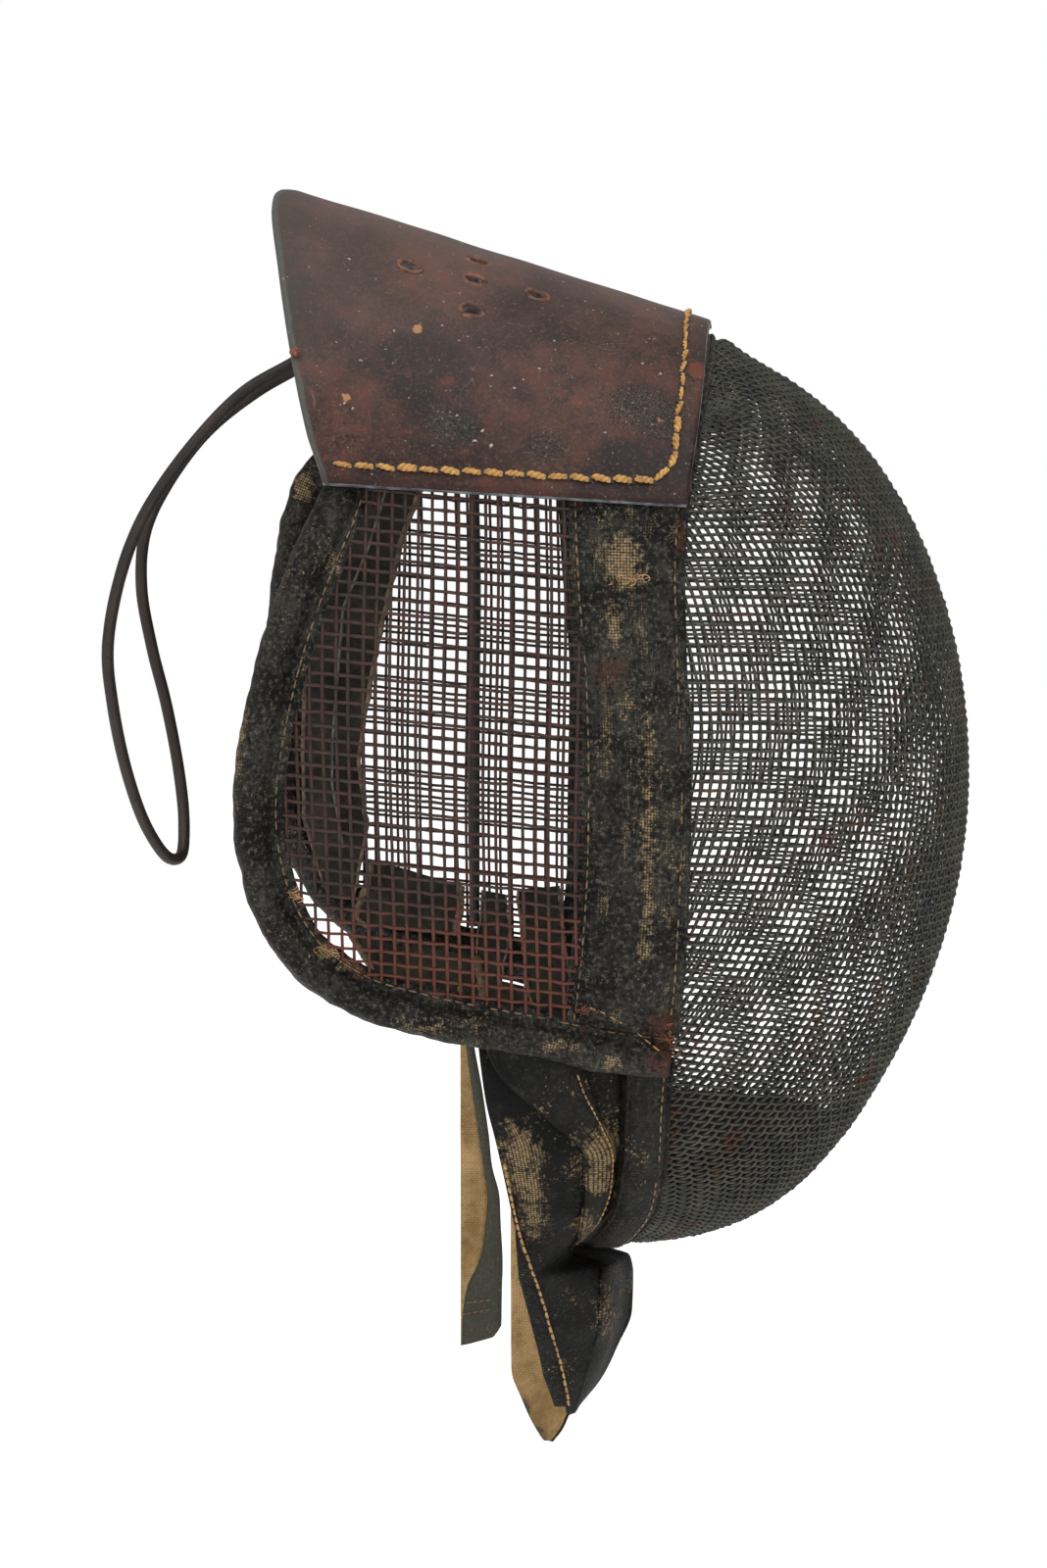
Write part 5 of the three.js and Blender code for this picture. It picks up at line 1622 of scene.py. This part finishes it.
class MASK_OT_edge_rolls(bpy.types.Operator):
    """Stuffs the oilcloth rolls round the back and the jaw, with their sewn flanges"""

    bl_idname = "mask.edge_rolls"
    bl_label = "Edge rolls"

    def execute(self, context):
        seams = Skin()
        profile = roll_profile()
        for side, node, seed in ((RIGHT, "edge_roll_right", 1), (LEFT, "edge_roll_left", 2)):
            line = RollLine(side)
            along = np.linspace(0, line.length, 260)
            width = (line.at("width", along) / 8.0)[:, None]
            plump = (line.at("plump", along) / 8.0)[:, None]

            def place(across, out, line=line, along=along, width=width, plump=plump):
                return line.place(along[:, None], across * width, out * plump)

            base = place(profile[None, :, 0], profile[None, :, 1])
            uneven = wobble(base, 9.0, seed, 0.35) + wobble(base, 3.2, seed + 4, 0.14)
            grow = 1 + uneven / 7.0
            points = place(profile[None, :, 0] * grow, profile[None, :, 1] * grow)
            around = run_lengths(profile)
            cloth = placed(around[None, :], along[:, None])
            skin = Skin()
            skin.marks = (ROLL_RUBS, ROLL_STAINS, ())
            start = skin.count
            skin.grid(points, 0, cloth, around=True, flip=side == LEFT)
            count = len(profile)
            for row in (0, len(along) - 1):
                ring = start + row * count + np.arange(count)
                skin.more_faces([ring if (row == 0) == (side == RIGHT) else ring[::-1]])
            skin.piece(node + "_cloth", "oilcloth_rolls", "oilcloth", node)
            sew = along[4:-3]
            fit = np.interp(sew, along, width[:, 0])
            thick = np.interp(sew, along, plump[:, 0])
            seam = line.place(sew, 5.3 * fit, 1.55 * thick)
            ups = [0.0, side, 0.0]
            sewn(seams, seam, ups, 2.6, 1.2, 0.3, seed * 7, arch=0.25, sides=5, skipped=0.15)
        seams.piece("roll_stitches", "seam_thread", "oilcloth")
        bpy.context.view_layer.update()
        names = ("edge_roll_right_cloth", "side_band_right_cloth", "chin_band_cloth")
        under = [bpy.data.objects[name] for name in names]
        self.lay_fibres(under)
        self.tuck_corner(under)
        return {"FINISHED"}

    def lay_fibres(self, under):
        for name, look, (x, z), reach, count in TUFTS:
            tuft, draw = Skin(), np.random.default_rng(count)
            for _ in range(count):
                spread = draw.normal(0, 1, 2) * reach
                start = lay_on(under, x + spread[0], z + spread[1]) - np.array([0.0, 0.25, 0.0])
                turn = np.linspace(0, draw.uniform(0.8, 2.6), 9)[:, None] + draw.uniform(0, 6.28)
                size = draw.uniform(1.0, 2.6)
                bend = np.concatenate([np.cos(turn), 0.08 * turn, 0.6 * np.sin(turn)], axis=1)
                curl = start + size * (bend - bend[4])
                tube(tuft, curl, [0.0, -1.0, 0.0], 0.15, 4)
            tuft.piece(name, look, "oilcloth")

    def tuck_corner(self, under):
        """The roll's end is folded under at a slant where it meets the bands."""
        level = even_path(np.array([(x, 0.0, z) for x, z in CORNER_FOLD]), 0.8)
        line = np.array([lay_on(under, x, z) for x, _, z in level])
        line[:, 1] = np.convolve(np.pad(line[:, 1], 3, mode="edge"), np.ones(7) / 7, "valid")
        ups = [0.0, -1.0, 0.0]
        fold = Skin()
        tube(fold, line + np.array([0.0, 0.1, 0.0]), ups, 0.75, 8)
        fold.piece("roll_end_fold", "oilcloth_rolls", "oilcloth")
        stitches = Skin()
        above = line + np.array([0.9, -0.35, 1.7])
        sewn(stitches, above, ups, 2.6, 1.0, 0.24, 91, arch=0.3, sides=5)
        stitches.piece("roll_end_stitches", "hem_thread", "oilcloth")


class MASK_OT_chin_lining(bpy.types.Operator):
    """Lays the dark lining inside the lower wire face"""

    bl_idname = "mask.chin_lining"
    bl_label = "Chin lining"

    def execute(self, context):
        top = along_at_height(LINING_TOP)
        along = np.linspace(0.4, top, 40)
        turn = np.linspace(-math.pi / 2, math.pi / 2, 70)
        outer = face_point(along[:, None], turn[None, :])
        normal = surface_normals(outer)
        middle = outer.reshape(-1, 3).mean(axis=0)
        if np.sum(normal * (outer - middle)) < 0:
            normal = -normal
        skin = Skin()
        ragged = wobble(outer, 5.0, 3, 0.4)
        sheet_points = outer - normal * (LINING_DEPTH + np.clip(ragged, -0.3, 0.5))[..., None]
        skin.grid(sheet_points)
        piece = skin.piece("chin_lining_cloth", "lining_cloth", "lining_cloth", "chin_lining")
        thicken(piece, 1.0)
        declare_sheet(sheet_points)
        return {"FINISHED"}


def longest(points, axis):
    return np.linalg.norm(np.diff(points, axis=axis), axis=-1).sum(axis=axis).max()


NARROWEST_SHEET = 0.0105  # narrower strips count as trims


def declare_sheet(points):
    """Measures the flat size of a sheet of cloth on its grid of points; the size is not kept."""
    width, length = longest(points, 1) / 1000, longest(points, 0) / 1000
    if min(width, length) < NARROWEST_SHEET:
        return


def smooth_levels(rows, count):
    """Rows of a table filled in smoothly between its levels, from the top down."""
    ordered = rows[::-1]
    curve = SmoothRows(ordered, by(ordered, "z"), limited=True)
    levels = np.linspace(rows[0]["z"], rows[-1]["z"], count)
    return {name: curve(name, levels) for name in rows[0]}


def bib_points(rows, side, stops):
    """Points of one half of the bib; stops gives place and lift across it for every level."""
    run_x, run_y = rows["frontX"] - rows["hemX"], rows["frontY"] - rows["hemY"]
    run = np.hypot(run_x, run_y)
    out_x, out_y = run_y / run, -run_x / run
    grid = []
    for x, lift in stops:
        share = np.clip((x - rows["hemX"]) / run_x, 0, 1)
        belly = np.minimum(4, 0.1 * run) * 4 * share * (1 - share)
        reach = belly + lift
        fade = np.minimum(1, 4 * share * (1 - share))
        grid.append(
            np.stack(
                [
                    x + out_x * reach * fade,
                    side * -(rows["hemY"] + run_y * share + out_y * reach),
                    rows["z"] - rows["drop"] * share,
                ],
                axis=-1,
            )
        )
    return np.stack(grid, axis=1)


BIB_THICKNESS = 1.3
THIN_CLOTH = 0.8  # thickness of the scraps and the binding tape


def bib_half(name, points, finishes):
    """One half of the bib, with the finishes of its front, back and rim."""
    skin = Skin()
    skin.marks = (BIB_RUBS, BIB_STAINS, BIB_PLEAT_SHADE)
    rows, columns = points.shape[:2]
    across, down = run_lengths(points[rows // 2]), run_lengths(points[:, columns // 2])
    cloth = placed(across[None, :], down[:, None])
    skin.grid(points, 0, cloth)
    piece = skin.piece(name, finishes, "worn_oilcloth", "bib")
    soften(piece, 1)
    thicken(piece, BIB_THICKNESS, 1, 2)
    return piece


TAPE_WIDTHS = ((141, 150, 159, 185, 197, 210), (0.2, 2.2, 4.6, 5.4, 6.0, 4.0))
BIB_TUCK_TOP = -71.0  # the right half runs up behind its roll to here


class MASK_OT_bib(bpy.types.Operator):
    """Hangs the worn throat bib, with its pleat, lining, binding tape and stitches"""

    bl_idname = "mask.bib"
    bl_label = "Throat bib"

    def execute(self, context):
        top = dict(BIB_RIGHT_ROWS[0], z=BIB_TUCK_TOP, hemY=-74.0, hemX=-14.6)
        second = dict(BIB_RIGHT_ROWS[1], hemX=-13.3)
        rows = smooth_levels([top, second] + BIB_RIGHT_ROWS[2:], 90)
        hem, rear, front = rows["hemX"], rows["rear"], rows["front"]
        lift = np.clip(rows["raise"], 0.05, None)
        tuck = np.clip(0.45 * (front - rear), 0.3, 7.0)
        end = rows["frontX"]
        stops = [
            (hem, 0 * lift),
            (hem + 0.3 * (rear - hem), 0 * lift),
            (hem + 0.65 * (rear - hem), 0 * lift),
            (rear, 0.02 * lift),
            (rear + 0.7 * tuck, 0.05 * lift),
            (rear + tuck, 0.25 * lift),
            (rear + 0.7 * tuck, 0.45 * lift),
            (rear + 0.12 * tuck, 0.52 * lift),
            (rear, 0.75 * lift),
            (rear + 0.14 * tuck, 1.0 * lift),
            (rear + 0.3 * (front - rear), 1.06 * lift),
            (rear + 0.65 * (front - rear), 1.06 * lift),
            (front - 0.1 * (front - rear), 1.0 * lift),
            (front, 0.7 * lift),
            (front + 0.3, 0.1 * lift),
            (front + 0.5 * (end - front), 0 * lift),
            (end, 0 * lift),
        ]
        points = bib_points(rows, RIGHT, stops)
        points[..., 1] += wobble(points, 14.0, 9, 0.7)
        right = bib_half("bib_right", points, "tan_cloth worn_oilcloth worn_oilcloth")
        declare_sheet(points)
        rows_z = points[:, 0, 2]
        rows = smooth_levels(BIB_LEFT_ROWS, 70)
        shares = np.linspace(0, 1, 14)
        stops = [(rows["hemX"] + s * (rows["frontX"] - rows["hemX"]), 0.0) for s in shares]
        left_points = bib_points(rows, LEFT, stops)
        left_points[..., 1] += wobble(left_points, 16.0, 4, 0.7)
        left = bib_half("bib_left", left_points, "worn_oilcloth tan_cloth worn_oilcloth")
        declare_sheet(left_points)
        seams = Skin()
        hem_line = points[28:-1, 0] + np.array([1.0, -0.9, 0.0])
        sewn(seams, hem_line, unit(np.array([-0.35, -1.0, 0.0])), 2.6, 0.7, 0.5, 3, arch=0.5, sides=6)
        flap = points[4:46, 12] + np.array([0.3, -0.8, 0.0])
        sewn(seams, flap, [0.3, -0.95, 0.0], 1.8, 0.6, 0.28, 4, arch=0.3, sides=5)
        level = np.linspace(-141.0, -210.0, 40)
        edge_x = np.interp(-level, -rows_z, points[:, 0, 0])
        edge_y = np.interp(-level, -rows_z, points[:, 0, 1])
        width = np.interp(-level, *TAPE_WIDTHS)
        share = np.linspace(0, 1, 6)
        tape = np.stack(
            [
                edge_x[:, None] + 1.2 - (width[:, None] + 1.2) * share,
                edge_y[:, None] + 1.5 + 0.4 * share,
                np.broadcast_to(level[:, None], (40, 6)),
            ],
            axis=-1,
        )
        binding = Skin()
        binding.grid(tape, 0)
        thicken(binding.piece("bib_tape", "oilcloth_chin", "worn_oilcloth"), THIN_CLOTH)
        seams.piece("bib_stitches", "hem_thread", "worn_oilcloth")
        return {"FINISHED"}


class MASK_OT_strap(bpy.types.Operator):
    """Hangs the narrow lined strap from the left roll"""

    bl_idname = "mask.strap"
    bl_label = "Bib strap"

    def execute(self, context):
        rows = smooth_levels(STRAP_ROWS, 80)
        shares = np.linspace(0, 1, 6)
        lining = [rows["rear"] + s * (rows["middle"] - rows["rear"]) for s in shares]
        folded = [rows["middle"] + s * (rows["front"] - rows["middle"]) for s in shares[1:]]
        x = np.stack(lining + folded, axis=1)
        bulge = np.concatenate([np.zeros(6), [0.7, 0.9, 0.9, 0.8, 0.5]])
        y = rows["y"][:, None] - bulge[None, :]
        slant = np.clip((-186 - rows["z"]) / 18, 0, 1)[:, None] * (x + 8.0) * 0.3
        z = rows["z"][:, None] + slant
        points = placed(x, y, z)
        points[..., 1] += wobble(points, 12.0, 6, 0.4)
        skin = Skin()
        cloth = points[..., [0, 2]]
        skin.grid(points[:, :6], 0, cloth[:, :6])
        skin.grid(points[:, 5:], 1, cloth[:, 5:])
        piece = skin.piece("bib_strap_cloth", "tan_cloth oilcloth_strap", "tan_cloth", "bib_strap")
        thicken(piece, 1.4)
        seams = Skin()
        for line in (points[-9, 1:-1], points[-7, 1:-1]):
            line = line + np.array([0.0, -1.0, 0.0])
            sewn(seams, line, [0.0, -1.0, 0.0], 1.6, 0.7, 0.2, 12, 0.2, 5)
        seams.piece("strap_stitches", "hem_thread", "tan_cloth")
        declare_sheet(points)
        return {"FINISHED"}


class MASK_OT_spring(bpy.types.Operator):
    """Bends the wire head spring and finishes the keeper that holds it"""

    bl_idname = "mask.spring"
    bl_label = "Head spring"

    def execute(self, context):
        line = catmull_loop(SPRING_POINTS, 12)
        skin = Skin()
        ups = [0.3, 0.2, 0.93]
        tube(skin, line, ups, SPRING_RADIUS, 14, closed=True)
        skin.piece("head_spring_wire", "spring_wire", "spring_wire", "head_spring")
        keeper = bpy.data.objects["spring_keeper"]
        keeper.data.materials.clear()
        keeper.data.materials.append(finish("keeper_steel"))
        return {"FINISHED"}


def catmull_loop(points, per_span):
    """A closed smooth line through points, turning less sharply where they lie close together."""
    points = np.asarray(points, float)
    count = len(points)
    found = []
    for i in range(count):
        p0, p1, p2, p3 = (points[(i + k) % count] for k in (-1, 0, 1, 2))
        d0, d1, d2 = (np.linalg.norm(b - a) ** 0.5 for a, b in ((p0, p1), (p1, p2), (p2, p3)))
        m1 = ((p1 - p0) / d0 - (p2 - p0) / (d0 + d1) + (p2 - p1) / d1) * d1
        m2 = ((p2 - p1) / d1 - (p3 - p1) / (d1 + d2) + (p3 - p2) / d2) * d1
        t = (np.arange(per_span) / per_span)[:, None]
        found.append(
            (2 * t**3 - 3 * t**2 + 1) * p1
            + (t**3 - 2 * t**2 + t) * m1
            + (3 * t**2 - 2 * t**3) * p2
            + (t**3 - t**2) * m2
        )
    return np.concatenate(found)


def ragged_sheet(name, outline_left, outline_right, side, offset, seed):
    """A torn scrap of cloth lying against the wall between two ragged side lines (x, z)."""
    left, right = np.array(outline_left, float), np.array(outline_right, float)
    rows = 60
    share = np.linspace(0, 1, rows)

    def along(line):
        length = run_lengths(line)
        at = share * length[-1]
        return placed(*(np.interp(at, length, line[:, k]) for k in range(2)))

    a, b = along(left), along(right)
    draw = np.random.default_rng(seed)
    a[:, 0] += np.cumsum(draw.normal(0, 0.12, rows))
    b[:, 0] += draw.normal(0, 0.25, rows)
    across = np.linspace(0, 1, 16)
    x = a[:, None, 0] + (b - a)[:, None, 0] * across
    z = a[:, None, 1] + (b - a)[:, None, 1] * across
    points = side_point(side, x, z, offset)
    points[..., 1] += side * wobble(points, 9.0, seed, 1.2)
    skin = Skin()
    skin.grid(points, 0, placed(x, z))
    for column in (0, across.size - 2):
        fringe = points[:, column : column + 2].copy()
        fringe[..., 1] -= side * 0.35
        skin.grid(fringe, 1)
    piece = skin.piece(name, "scrap_cloth torn_edge", "lining_cloth")
    thicken(piece, THIN_CLOTH)
    return piece, points


# Left and right side line (x, z) of the long strip and of each scrap, then the fold down the strip.
SCRAPS = (
    (
        ((-66, 100), (-72, 80), (-76, 55), (-78, 30), (-78, 8), (-77, -20), (-68, -47)),
        ((-34, 100), (-42, 80), (-48, 55), (-53, 32), (-57, 8), (-58, 0), (-55, -24), (-60, -48)),
    ),
    (((-55, -34), (-58, -44), (-62, -54), (-57, -58)), ((-21, -44), (-21, -50), (-22, -57), (-23, -61))),
    (((-15, -45), (-15.5, -60), (-14, -84)), ((-6, -47), (-4.5, -60), (-9, -84))),
    (((-2, -45), (-1, -60), (3, -84)), ((13, -44), (14.5, -60), (19, -86))),
    (((-62, -61), (-58, -68), (-50, -80)), ((-15, -68), (-14, -75), (-13, -84))),
    (((-23, -78), (-23, -84), (-23, -91)), ((21, -82), (21, -87), (21, -93))),
)
FOLD_LINE = ((-48, 98), (-55, 76), (-64, 55), (-66.5, 27), (-68, 6), (-68, -8), (-64, -30))


class MASK_OT_torn_lining(bpy.types.Operator):
    """Hangs the torn remains of the lining inside the left wall"""

    bl_idname = "mask.torn_lining"
    bl_label = "Torn lining"

    def execute(self, context):
        for number, (left, right) in enumerate(SCRAPS):
            name = "torn_lining_scrap_%d" % number if number else "torn_lining_strip"
            offset = SCRAP_OFFSET if number else STRIP_OFFSET
            scrap, points = ragged_sheet(name, left, right, LEFT, offset, 5 + number)
            declare_sheet(points)
        fold = Skin()
        line = even_path(np.array([side_point(LEFT, x, z, -6.2) for x, z in FOLD_LINE]), 1.0)
        tube(fold, line, [0.0, 1.0, 0.0], 0.55, 6)
        fold.piece("torn_lining_fold", "fold_grey", "lining_cloth")
        return {"FINISHED"}


STEPS = (
    MASK_OT_finishes,
    MASK_OT_stage,
    MASK_OT_wire_face,
    MASK_OT_side_nets,
    MASK_OT_crown,
    MASK_OT_crown_stitches,
    MASK_OT_bands,
    MASK_OT_edge_rolls,
    MASK_OT_chin_lining,
    MASK_OT_bib,
    MASK_OT_strap,
    MASK_OT_spring,
    MASK_OT_torn_lining,
)


class MASK_PT_pieces(bpy.types.Panel):
    """Lists the mask's sizes, colours and pieces"""

    bl_label = "Fencing mask"
    bl_space_type = "VIEW_3D"
    bl_region_type = "UI"
    bl_category = "Mask"

    def draw(self, context):
        layout = self.layout
        for group in (context.scene.mask_sizes, context.scene.mask_colours):
            for name in group.__annotations__:
                layout.prop(group, name)
        for step in STEPS:
            layout.operator(step.bl_idname)


CLASSES = (MaskSizes, MaskColours) + STEPS + (MASK_PT_pieces,)


def register():
    for made in CLASSES:
        bpy.utils.register_class(made)
    bpy.types.Scene.mask_sizes = bpy.props.PointerProperty(type=MaskSizes)
    bpy.types.Scene.mask_colours = bpy.props.PointerProperty(type=MaskColours)


def unregister():
    del bpy.types.Scene.mask_colours
    del bpy.types.Scene.mask_sizes
    for made in reversed(CLASSES):
        bpy.utils.unregister_class(made)


def main():
    register()
    for step in STEPS:
        area, name = step.bl_idname.split(".")
        getattr(getattr(bpy.ops, area), name)()


if __name__ == "__main__":
    main()
